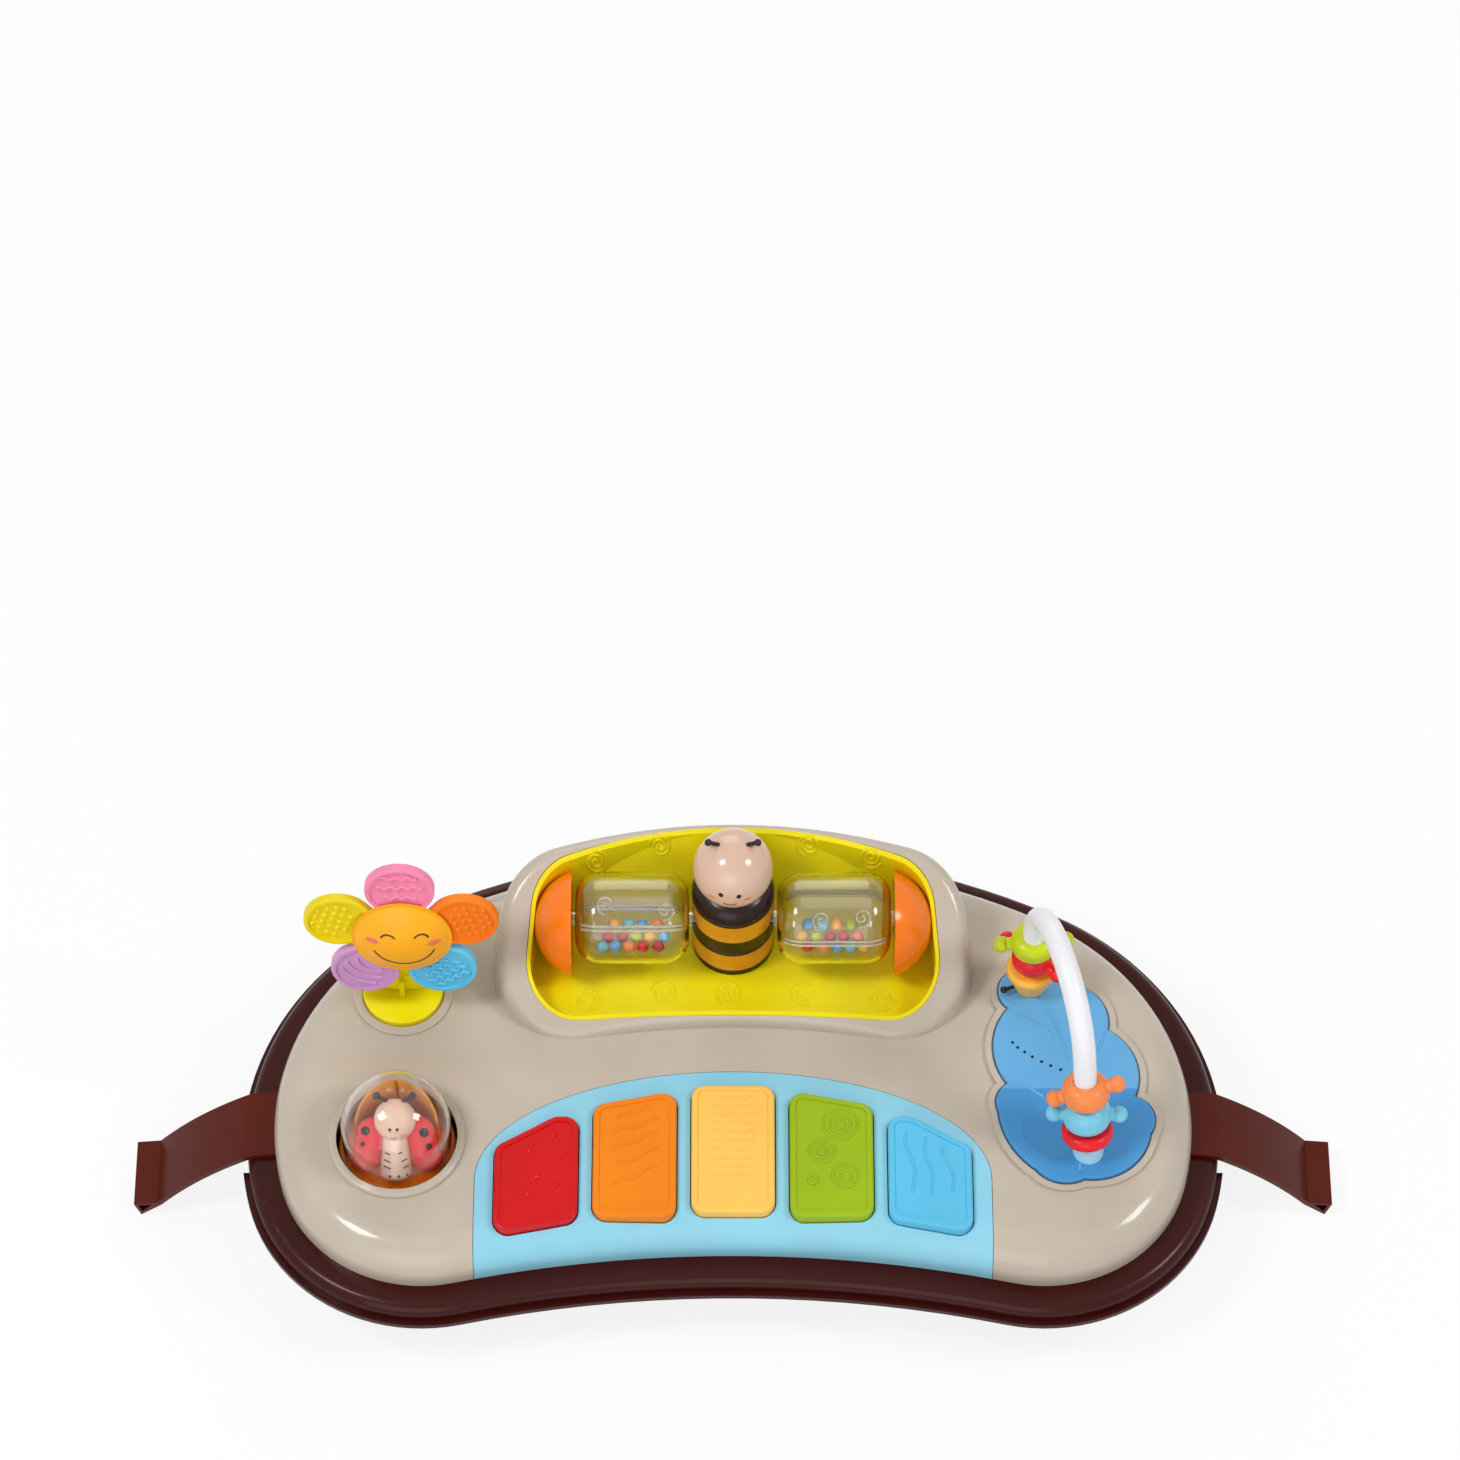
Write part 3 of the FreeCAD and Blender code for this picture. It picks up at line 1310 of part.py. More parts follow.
def arch_path():
    """Two straight legs joined by one arc that is tangent to both."""
    lean = math.radians(S.arch_lean)
    way = leg_way()
    centre_x = S.arch_span - S.arch_bend
    centre_z = (centre_x * math.cos(lean) - S.arch_bend) / math.sin(lean)
    centre = Vector(centre_x, 0, centre_z)
    touch = centre + Vector(-math.cos(lean), 0, math.sin(lean)) * S.arch_bend
    top = centre + Vector(0, 0, 1) * S.arch_bend
    rear_top = Vector(S.arch_span, 0, centre_z)
    rear_foot = Vector(S.arch_span, 0, -S.rod_foot)
    start = way * (-S.rod_foot)
    edges = [
        Part.LineSegment(start, touch).toShape(),
        Part.Arc(touch, top, rear_top).toShape(),
        Part.LineSegment(rear_top, rear_foot).toShape(),
    ]
    return Part.Wire(edges)


def make_arch():
    path = arch_path()
    start = leg_way() * (-S.rod_foot)
    ring = Part.Wire(Part.makeCircle(S.rod_radius, start, leg_way()))
    rod = path.makePipeShell([ring], True, False)
    finish(feature("arch_rod", rod, arch_frame()), "arch_rod")
    way = leg_way()
    collar = Part.makeCone(S.collar_radius, S.collar_top_radius, S.collar_height + S.wall, way * (-S.wall), way)
    hole = Part.makeCylinder(S.rod_radius, S.collar_height * 4, way * (-S.collar_height * 2), way)
    below = box(-S.half_width, S.half_width, -S.half_width, S.half_width, -S.half_width, 0)
    finish(feature("arch_collar", one_solid(collar.cut(hole).cut(below)), arch_frame()), "arch_collar")


def rod_root():
    """The lowest stretch of both legs, which the leaf and the shell make room for."""
    legs = []
    for start, way in ((Vector(), leg_way()), (Vector(S.arch_span, 0, 0), Vector(0, 0, 1))):
        legs.append(Part.makeCylinder(S.rod_radius, S.rod_foot * 2, start + way * (-S.rod_foot), way))
    both = Part.makeCompound(legs)
    both.Placement = arch_frame()
    return both


def make_leaf():
    whole = prism(leaf_wire(), SHELL_TOP, LEAF_TOP)
    whole = whole.makeFillet(S.leaf_plate_round, level_edges(whole, LEAF_TOP))
    split = S.lobe_place * -0.16
    front_room = box(0, S.half_width, -S.tray_depth, split, 0, LEAF_TOP * 2)
    front = whole.common(front_room)
    back = whole.cut(front_room)
    lobes = []
    for share_x, share_y in ((1.03, -0.31), (1.2, -0.29)):
        centre = Vector(S.lobe_place * share_x, S.lobe_place * share_y, LEAF_TOP + S.leaf_plate_round * 60)
        lobes.append(Part.makeSphere(S.leaf_plate_round * 60 + S.lobe_dish, centre))
    front = front.cut(lobes[0]).cut(lobes[1])
    front = front.cut(rod_root())
    back = back.cut(rod_root())
    finish(feature("leaf_plate", one_solid(back)), "leaf_plate")
    finish(feature("leaf_front_lobes", one_solid(front)), "leaf_front_lobes")


def bead_with_arms(radius, height, low, arm_angle, gap):
    """A rounded bead about the leg, with two knobbed arms that stand out sideways."""
    block = Part.makeCylinder(radius, height, Vector(0, 0, low))
    block = block.makeFillet(height * 0.42, [edge for edge in block.Edges if edge.BoundBox.ZLength < 1e-3])
    middle = Vector(0, 0, low + height / 2)
    rise = math.radians(arm_angle)
    for side in (-1, 1):
        way = Vector(side * math.cos(rise), 0, side * math.sin(rise))
        arm = Part.makeCylinder(S.arm_radius * 0.8, S.arm_reach - S.arm_radius, middle, way)
        knob = Part.makeSphere(S.arm_radius, middle + way * (S.arm_reach - S.arm_radius))
        block = block.fuse(arm).fuse(knob)
    block = block.cut(Part.makeCylinder(S.rod_radius + gap, height * 6, Vector(0, 0, low - height * 3)))
    return one_solid(block)


def front_leg_frame():
    """Upright axis along the front leg, local X across the arch's plane."""
    place = arch_frame()
    tilt = Rotation(Vector(0, 1, 0), S.arch_lean)
    return Placement(place.Base, place.Rotation.multiply(tilt))


def rear_leg_frame():
    rear = rod_feet()[1]
    return Placement(Vector(rear[0], rear[1], LEAF_TOP), Rotation(Vector(0, 0, 1), 0))


def make_beads():
    frame = front_leg_frame()
    gap = S.bead_gap
    low = S.collar_height
    disc = Part.makeCylinder(S.red_disc_radius, S.red_disc_height, Vector(0, 0, low))
    disc = disc.makeFillet(S.red_disc_height * 0.4, [edge for edge in disc.Edges if edge.BoundBox.ZLength < 1e-3])
    disc = disc.cut(Part.makeCylinder(S.rod_radius + gap, S.red_disc_height * 3,
                                      Vector(0, 0, low - S.red_disc_height)))
    finish(feature("front_red_bead", one_solid(disc), frame), "front_red_bead")
    low += S.red_disc_height + gap
    facing = frame.multiply(Placement(Vector(), Rotation(Vector(0, 0, 1), -S.arch_turn)))
    blue = bead_with_arms(S.blue_bead_radius, S.blue_bead_height, low, -S.blue_arm_fall, gap)
    finish(feature("front_blue_bead", blue, facing), "front_blue_bead")
    low += S.blue_bead_height + gap
    orange = bead_with_arms(S.orange_bead_radius, S.orange_bead_height, low, S.orange_arm_rise, gap)
    finish(feature("front_orange_bead", orange, facing), "front_orange_bead")
    frame = rear_leg_frame()
    gap = S.running_gap
    low = S.seat_gap * 2
    corners = [("rod_radius + running_gap", "0"), ("yellow_bead_foot", "0"),
               ("yellow_bead_radius", "yellow_bead_height * 0.8"), ("yellow_bead_radius", "yellow_bead_height"),
               ("rod_radius + running_gap", "yellow_bead_height")]
    place = Placement(frame.Base + Vector(0, 0, low), frame.Rotation)
    body = turned_body("yellow_bowl", corners, place, [("yellow_bead_radius", "yellow_bead_height", "yellow_bead_height / 8")])
    club_root = frame.Base + Vector(-S.yellow_bead_foot, -S.yellow_bead_foot / 2, low + S.yellow_bead_height / 4)
    club = aimed(match_form(S.antenna_radius, S.antenna_knob, S.antenna_length), club_root,
                 Vector(-1, -0.3, -0.1))
    club = club.cut(body.Shape)
    finish(body, "rear_yellow_bead")
    finish(feature("rear_bead_antenna", one_solid(club)), "rear_bead_antenna")
    low += S.yellow_bead_height + S.seat_gap
    red = bead_with_arms(S.red_bead_radius, S.red_bead_height, low, 0, gap)
    turned = frame.multiply(Placement(Vector(), Rotation(Vector(0, 0, 1), S.red_bead_turn)))
    finish(feature("rear_red_bead", red, turned), "rear_red_bead")
    low += S.red_bead_height + S.seat_gap
    green = bead_with_arms(S.green_bead_radius, S.green_bead_height, low, S.green_arm_rise, gap)
    finish(feature("rear_green_bead", green, frame), "rear_green_bead")


# Clip arms

def make_clip_arm(side, name):
    """A strip that leaves the shell over the rim, bends down and ends in a hollow barb."""
    first = math.radians(S.arm_first_angle)
    last = math.radians(S.arm_last_angle)
    root = S.half_width - S.arm_root
    bend_start = S.half_width - S.lip_width - S.rim_round
    top = RIM_TOP + S.arm_thick

    def bend(start, radius, from_angle, to_angle):
        """Middle and end of an arc that turns down, from start."""
        spots = []
        for angle in ((from_angle + to_angle) / 2, to_angle):
            dx = radius * (math.sin(angle) - math.sin(from_angle))
            dz = radius * (math.cos(angle) - math.cos(from_angle))
            spots.append(Vector(start.x + dx, 0, start.z + dz))
        return spots

    upper = [Vector(bend_start, 0, top)]
    upper += bend(upper[0], S.arm_first_bend + S.arm_thick, 0, first)
    upper += bend(upper[2], S.arm_long_bend + S.arm_thick, first, last)
    lower = [Vector(bend_start, 0, RIM_TOP)]
    lower += bend(lower[0], S.arm_first_bend, 0, first)
    lower += bend(lower[2], S.arm_long_bend, first, last)
    end = upper[4]
    tip = end + Vector(S.barb_width, 0, 0)
    foot = end + Vector(S.barb_width - S.arm_thick, 0, -S.barb_depth)
    edges = [
        Part.LineSegment(Vector(root, 0, RIM_TOP), Vector(root, 0, top)).toShape(),
        Part.LineSegment(Vector(root, 0, top), upper[0]).toShape(),
        Part.Arc(upper[0], upper[1], upper[2]).toShape(),
        Part.Arc(upper[2], upper[3], upper[4]).toShape(),
        Part.LineSegment(end, tip).toShape(),
        Part.LineSegment(tip, foot).toShape(),
        Part.LineSegment(foot, lower[4]).toShape(),
        Part.Arc(lower[4], lower[3], lower[2]).toShape(),
        Part.Arc(lower[2], lower[1], lower[0]).toShape(),
        Part.LineSegment(lower[0], Vector(root, 0, RIM_TOP)).toShape(),
    ]
    face = Part.Face(Part.Wire(edges))
    middle = (end + tip + foot) * (1 / 3)
    keep = 1 - S.barb_wall * 2 / S.barb_depth
    inner = [middle + (spot - middle) * keep for spot in (end, tip, foot)]
    hole = Part.Face(Part.makePolygon(inner + inner[:1]))
    sweep = math.atan2(S.arm_forward, S.barb_width * 4)
    face = face.cut(hole)
    pivot = Vector(bend_start, 0, 0)
    face.rotate(pivot, Vector(0, 0, 1), -math.degrees(sweep))
    face.translate(Vector(0, S.arm_middle - S.arm_width / 2, 0))
    arm = face.extrude(Vector(0, S.arm_width, 0))
    if side < 0:
        arm = arm.mirror(Vector(), Vector(1, 0, 0))
    finish(feature(name + "_clip_arm", one_solid(arm)), name + "_clip_arm")


def make_everything():
    make_base_tray()
    make_battery_door()
    make_cells()
    make_case_screws()
    make_top_shell()
    make_keyboard_panel()
    make_cove_panel()
    make_keys()
    make_circuit_board()
    make_speaker()
    make_drum(-1, "left", S.drum_seam_left)
    make_drum(1, "right", S.drum_seam_right)
    make_moon(-1, "left")
    make_moon(1, "right")
    make_bee()
    make_flower()
    make_stalk()
    make_capsule()
    make_leaf()
    make_arch()
    make_beads()
    make_clip_arm(-1, "left")
    make_clip_arm(1, "right")
    doc.recompute()


def check_everything():
    faults = []
    for item in doc.Objects:
        if "Invalid" in item.State or "Error" in item.State:
            faults.append("%s: %s" % (item.Name, item.State))
    for label, item in FINISHED.items():
        if item.Shape.isNull() or not item.Shape.isValid() or not item.Shape.Solids:
            faults.append(label + ": bad shape")
    if faults:
        raise RuntimeError("; ".join(faults))


make_everything()
check_everything()
os.makedirs("parts", exist_ok=True)
for label, item in FINISHED.items():
    item.Shape.exportStep("parts/%s.step" % label)
    solids = item.Shape.Solids
    print("%-24s %2d solids %10.1f mm3" % (label, len(solids), sum(solid.Volume for solid in solids)))
print("pieces:", len(FINISHED))
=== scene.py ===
import math

import bmesh
import bpy
from mathutils import Matrix, Vector
from mathutils.bvhtree import BVHTree


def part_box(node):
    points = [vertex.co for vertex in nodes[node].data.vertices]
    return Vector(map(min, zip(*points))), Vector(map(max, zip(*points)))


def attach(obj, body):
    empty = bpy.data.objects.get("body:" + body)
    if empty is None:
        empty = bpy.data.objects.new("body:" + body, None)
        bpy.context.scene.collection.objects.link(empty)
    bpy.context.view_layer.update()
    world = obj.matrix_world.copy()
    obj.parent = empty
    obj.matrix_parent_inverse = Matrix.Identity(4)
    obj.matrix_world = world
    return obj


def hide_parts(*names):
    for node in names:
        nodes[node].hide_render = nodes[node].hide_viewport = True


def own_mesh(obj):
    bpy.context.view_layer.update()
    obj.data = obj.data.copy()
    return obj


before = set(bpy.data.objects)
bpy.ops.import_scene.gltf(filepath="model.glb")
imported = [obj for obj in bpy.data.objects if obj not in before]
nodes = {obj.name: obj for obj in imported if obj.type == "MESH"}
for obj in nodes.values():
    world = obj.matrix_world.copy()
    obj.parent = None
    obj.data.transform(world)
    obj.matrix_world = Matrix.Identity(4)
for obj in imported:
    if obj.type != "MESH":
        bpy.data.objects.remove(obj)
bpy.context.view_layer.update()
print("frame loaded:", len(nodes), "nodes")

mm = 0.001
sunk = 0.3  # a raised detail reaches this share of its height into the piece under it
above = 200  # height in mm from which details are dropped onto the flat pieces
missed = []  # pieces beside which a detail's point fell


def layout(x, y, z):
    # a place on the tray in mm: x to the right, y to the back, z up from the floor
    return Vector((x, y, z)) * mm


# Camera: stands 3 m away and looks down on the tray, as the photograph does
view = {
    "distance": 3.0, "aim": (0, 0, 0.0538), "aside": -0.001535,
    "elevation": 60.0, "pitch": 56.6805, "lens": 144.54, "sensor": 36,
    "picture": 1460,  # side of the photograph in pixels
}


def addCamera():
    data = bpy.data.cameras.new("trayCamera")
    data.lens = view["lens"]
    data.sensor_width = view["sensor"]
    camera = bpy.data.objects.new("trayCamera", data)
    bpy.context.scene.collection.objects.link(camera)
    rise = math.radians(view["elevation"])
    back = -math.cos(rise) * view["distance"]
    up = math.sin(rise) * view["distance"]
    camera.location = Vector(view["aim"]) + Vector((view["aside"], back, up))
    camera.rotation_euler = (math.radians(90 - view["pitch"]), 0, 0)
    bpy.context.scene.camera = camera


# Studio: two small lamps overhead that glint on the round pieces, soft ones in front and behind,
# a pale room and a floor just under the tray
studio = {
    "lamps": [  # name, place, size and power
        ("leftLamp", (-0.95, -0.34, 1.7), 0.45, 14.0),
        ("rightLamp", (1.3, -0.2, 1.45), 0.45, 11.0),
        ("frontLamp", (-0.5, -2.1, 0.9), 1.6, 14.0),
        ("backLamp", (-0.2, 1.8, 1.1), 1.1, 8.0),
    ],
    "lampAim": (0, 0, 0.05),
    "world": 0.36,
    "floor": (0.93, 0.93, 0.93), "floorRough": 0.9, "floorReach": 6, "glow": 0.85, "gap": 0.15,
}


def plainRays(tree):
    # 1 for the rays that see the background itself: from the camera, off a gloss and through a clear piece
    rays = tree.nodes.new("ShaderNodeLightPath")
    total = rays.outputs["Is Camera Ray"]
    for kind in ("Is Glossy Ray", "Is Transmission Ray"):
        either = tree.nodes.new("ShaderNodeMath")
        either.operation = "MAXIMUM"
        tree.links.new(total, either.inputs[0])
        tree.links.new(rays.outputs[kind], either.inputs[1])
        total = either.outputs[0]
    return total


def addLamps():
    for name, spot, size, power in studio["lamps"]:
        data = bpy.data.lights.new(name, "AREA")
        data.size = size
        data.energy = power
        lamp = bpy.data.objects.new(name, data)
        lamp.location = spot
        ahead = Vector(studio["lampAim"]) - Vector(spot)
        lamp.rotation_euler = ahead.to_track_quat("-Z", "Y").to_euler()
        bpy.context.scene.collection.objects.link(lamp)


def addRoom():
    world = bpy.data.worlds.new("paleRoom")
    bpy.context.scene.world = world
    world.use_nodes = True
    tree = world.node_tree
    sky = tree.nodes["Background"]
    sky.inputs["Color"].default_value = (1, 1, 1, 1)
    level = tree.nodes.new("ShaderNodeMapRange")  # white where it is seen, dimmer where it lights the toys
    level.inputs["To Min"].default_value = studio["world"]
    level.inputs["To Max"].default_value = 1
    tree.links.new(plainRays(tree), level.inputs["Value"])
    tree.links.new(level.outputs["Result"], sky.inputs["Strength"])


def addFloor():
    mesh = bmesh.new()
    bmesh.ops.create_grid(mesh, x_segments=1, y_segments=1, size=studio["floorReach"])
    for corner in mesh.verts:
        corner.co.z = -studio["gap"] * mm
    floor = pieceFrom(mesh, "paleFloor", smooth=False)
    paper = bpy.data.materials.new("whitePaper")
    paper.use_nodes = True
    tree = paper.node_tree
    shade = tree.nodes["Principled BSDF"]
    shade.inputs["Base Color"].default_value = (*studio["floor"], 1)
    shade.inputs["Roughness"].default_value = studio["floorRough"]
    glow = tree.nodes.new("ShaderNodeEmission")
    blend = tree.nodes.new("ShaderNodeMixShader")
    weight = tree.nodes.new("ShaderNodeMath")
    weight.operation = "MULTIPLY"
    weight.inputs[1].default_value = studio["glow"]
    tree.links.new(plainRays(tree), weight.inputs[0])
    tree.links.new(weight.outputs[0], blend.inputs[0])
    tree.links.new(shade.outputs[0], blend.inputs[1])
    tree.links.new(glow.outputs[0], blend.inputs[2])
    tree.links.new(blend.outputs[0], tree.nodes["Material Output"].inputs["Surface"])
    floor.data.materials.append(paper)


def pieceFrom(mesh, name, smooth=True):
    # turns a finished bmesh into an object at the origin
    data = bpy.data.meshes.new(name)
    mesh.to_mesh(data)
    mesh.free()
    for face in data.polygons:
        face.use_smooth = smooth
    piece = bpy.data.objects.new(name, data)
    bpy.context.scene.collection.objects.link(piece)
    return piece


def linear(red, green, blue):
    # a screen colour of 0 to 255 as the renderer's own
    out = []
    for part in (red, green, blue):
        share = part / 255
        out.append(share / 12.92 if share <= 0.04045 else ((share + 0.055) / 1.055) ** 2.4)
    return out


def shiftTone(colour, factor):
    return (*[min(1, part * factor) for part in colour], 1)


# Coloured plastic: a cloud of faint mottling, a fine skin grain and slightly uneven gloss
plasticLook = {
    "cloudScale": 22, "cloudDetail": 3, "cloudLow": 0.3, "cloudHigh": 0.7, "mottle": 0.05,
    "skinScale": 900, "skinDetail": 2, "skinDeep": 0.0004, "grain": 0.04,
    "glossLow": 0.25, "glossHigh": 0.75, "smoother": 0.05, "rougher": 0.06, "smoothest": 0.03,
    "coat": 0.12, "coatRough": 0.08, "specular": 0.2,
}


def mouldedPlastic(name, colour, rough, coat=plasticLook["coat"], specular=plasticLook["specular"]):
    look = plasticLook
    paint = linear(*colour)
    material = bpy.data.materials.new(name)
    material.use_nodes = True
    material.diffuse_color = (*paint, 1)
    tree = material.node_tree
    shade = tree.nodes["Principled BSDF"]
    shade.inputs["Specular IOR Level"].default_value = specular
    shade.inputs["Coat Weight"].default_value = coat
    shade.inputs["Coat Roughness"].default_value = look["coatRough"]
    spot = tree.nodes.new("ShaderNodeTexCoord")
    cloud = tree.nodes.new("ShaderNodeTexNoise")
    cloud.inputs["Scale"].default_value = look["cloudScale"]
    cloud.inputs["Detail"].default_value = look["cloudDetail"]
    tint = tree.nodes.new("ShaderNodeValToRGB")
    tint.color_ramp.elements[0].position = look["cloudLow"]
    tint.color_ramp.elements[0].color = shiftTone(paint, 1 - look["mottle"])
    tint.color_ramp.elements[1].position = look["cloudHigh"]
    tint.color_ramp.elements[1].color = shiftTone(paint, 1 + look["mottle"])
    skin = tree.nodes.new("ShaderNodeTexNoise")
    skin.inputs["Scale"].default_value = look["skinScale"]
    skin.inputs["Detail"].default_value = look["skinDetail"]
    bump = tree.nodes.new("ShaderNodeBump")
    bump.inputs["Strength"].default_value = look["grain"]
    bump.inputs["Distance"].default_value = look["skinDeep"]
    gloss = tree.nodes.new("ShaderNodeMapRange")
    gloss.inputs["From Min"].default_value = look["glossLow"]
    gloss.inputs["From Max"].default_value = look["glossHigh"]
    gloss.inputs["To Min"].default_value = max(look["smoothest"], rough - look["smoother"])
    gloss.inputs["To Max"].default_value = rough + look["rougher"]
    tree.links.new(spot.outputs["Object"], cloud.inputs["Vector"])
    tree.links.new(spot.outputs["Object"], skin.inputs["Vector"])
    tree.links.new(cloud.outputs["Fac"], tint.inputs["Fac"])
    tree.links.new(cloud.outputs["Fac"], gloss.inputs["Value"])
    tree.links.new(tint.outputs["Color"], shade.inputs["Base Color"])
    tree.links.new(gloss.outputs["Result"], shade.inputs["Roughness"])
    tree.links.new(skin.outputs["Fac"], bump.inputs["Height"])
    tree.links.new(bump.outputs["Normal"], shade.inputs["Normal"])
    return material


# Clear plastic: its index, and a haze that varies a little over the piece
clearLook = {"index": 1.42, "hazeScale": 60, "hazeMore": 0.05}


def clearPlastic(name, rough, clear):
    look = clearLook
    material = bpy.data.materials.new(name)
    material.use_nodes = True
    tree = material.node_tree
    shade = tree.nodes["Principled BSDF"]
    shade.inputs["Base Color"].default_value = (1, 1, 1, 1)
    shade.inputs["Transmission Weight"].default_value = clear
    shade.inputs["IOR"].default_value = look["index"]
    spot = tree.nodes.new("ShaderNodeTexCoord")
    cloud = tree.nodes.new("ShaderNodeTexNoise")
    cloud.inputs["Scale"].default_value = look["hazeScale"]
    haze = tree.nodes.new("ShaderNodeMapRange")
    haze.inputs["To Min"].default_value = rough
    haze.inputs["To Max"].default_value = rough + look["hazeMore"]
    tree.links.new(spot.outputs["Object"], cloud.inputs["Vector"])
    tree.links.new(cloud.outputs["Fac"], haze.inputs["Value"])
    tree.links.new(haze.outputs["Result"], shade.inputs["Roughness"])
    return material


addCamera()
addLamps()
addRoom()
addFloor()
print("camera and studio ready")

# Colours of the plastics as seen on screen, and their roughness
paints = {
    "trayBrown": ((56, 12, 7), 0.3),
    # the clip arms: the tray's brown lightened as painted light for the light on their sloping faces
    "armBrownPaintedLight": ((84, 24, 10), 0.26),
    "shellTaupe": ((192, 180, 164), 0.2),
    "panelBlue": ((141, 205, 226), 0.42),
    "coveGreen": ((238, 222, 10), 0.34),
    "keyRed": ((205, 8, 14), 0.3),
    "keyOrange": ((238, 132, 8), 0.32),
    "keyYellow": ((253, 198, 92), 0.34),
    "keyGreen": ((155, 184, 14), 0.34),
    "keyBlue": ((92, 190, 228), 0.34),
    "domeSilicone": ((220, 220, 218), 0.6),
    "boardGreen": ((28, 96, 58), 0.5),
    "darkPlastic": ((40, 40, 42), 0.5),
    "moonOrange": ((246, 122, 16), 0.22),
    "beeSkin": ((216, 180, 158), 0.22),
    "feelerBlack": ((38, 30, 30), 0.25),
    "flowerYellow": ((250, 175, 25), 0.34),
    "petalPink": ((245, 140, 175), 0.42),
    "petalGreen": ((232, 210, 8), 0.4),
    "petalPurple": ((204, 152, 202), 0.42),
    "petalBlue": ((100, 200, 238), 0.42),
    "petalOrange": ((250, 128, 22), 0.4),
    "stalkGreen": ((246, 230, 8), 0.34),
    "bugRed": ((222, 50, 56), 0.26),
    "leafBlue": ((100, 170, 220), 0.42),
    "leafDeepBlue": ((70, 145, 203), 0.42),
    "rodWhite": ((236, 236, 240), 0.3),
    "collarBlue": ((170, 215, 235), 0.4),
    "beadRed": ((230, 30, 40), 0.3),
    "beadBlue": ((120, 200, 225), 0.36),
    "beadOrange": ((245, 140, 75), 0.4),
    "beadYellow": ((253, 185, 70), 0.36),
    "beadGreen": ((190, 205, 20), 0.36),
    # black of the printed faces and marks, also the painted shade inside the speaker holes
    "inkAndHoleShadeBlack": ((30, 22, 22), 0.35),
    "inkBrown": ((96, 48, 18), 0.4),
    "blushRose": ((232, 120, 96), 0.45),
    "blushPink": ((228, 140, 130), 0.45),
    "backWallTan": ((226, 150, 70), 0.4),
    "darkRed": ((176, 24, 36), 0.3),
}

# Coat and specular of the plastics whose gloss differs from the rest
polish = {
    "shellTaupe": (0.3, 0.2), "trayBrown": (0.1, 0.12), "armBrownPaintedLight": (0.06, 0.12),
    "moonOrange": (0.25, 0.2), "beeSkin": (0.6, 0.2),
}

# The bee's body: rings of black and amber up to a glossy dark shoulder, each from its height over the foot
beeRings = {
    "foot": 74.5, "top": 131.5, "rough": 0.28,
    "rings": [(0, "dark"), (4.2, "amber"), (18.2, "dark"), (31, "amber"), (45, "dark")],
    "dark": (34, 14, 10), "amber": (222, 150, 28),
}


def ringedPlastic(name):
    material = mouldedPlastic(name, (255, 255, 255), beeRings["rough"])
    tree = material.node_tree
    shade = tree.nodes["Principled BSDF"]
    mottle = shade.inputs["Base Color"].links[0].from_socket
    spot = tree.nodes.new("ShaderNodeTexCoord")
    split = tree.nodes.new("ShaderNodeSeparateXYZ")
    height = tree.nodes.new("ShaderNodeMapRange")
    height.inputs["From Min"].default_value = beeRings["foot"] * mm
    height.inputs["From Max"].default_value = beeRings["top"] * mm
    rings = tree.nodes.new("ShaderNodeValToRGB")
    rings.color_ramp.interpolation = "CONSTANT"
    stops = rings.color_ramp.elements
    tall = beeRings["top"] - beeRings["foot"]
    for number, (level, tone) in enumerate(beeRings["rings"]):
        stop = stops[number] if number < 2 else stops.new(level / tall)  # a new ramp has two stops
        stop.position = level / tall
        stop.color = (*linear(*beeRings[tone]), 1)
    blend = tree.nodes.new("ShaderNodeMix")
    blend.data_type = "RGBA"
    blend.blend_type = "MULTIPLY"
    blend.inputs[0].default_value = 1
    tree.links.new(spot.outputs["Object"], split.inputs[0])
    tree.links.new(split.outputs["Z"], height.inputs["Value"])
    tree.links.new(height.outputs["Result"], rings.inputs["Fac"])
    tree.links.new(rings.outputs["Color"], blend.inputs[6])
    tree.links.new(mottle, blend.inputs[7])
    tree.links.new(blend.outputs[2], shade.inputs["Base Color"])
    return material


finishes = {name: mouldedPlastic(name, colour, rough, *polish.get(name, ()))
            for name, (colour, rough) in paints.items()}
finishes["clearPlastic"] = clearPlastic("clearPlastic", rough=0.03, clear=1)
finishes["paintedGlintClear"] = clearPlastic("paintedGlintClear", rough=0.12, clear=0.86)  # lines moulded in the drums, made whiter than the clear plastic as a painted highlight
finishes["beeRinged"] = ringedPlastic("beeRinged")

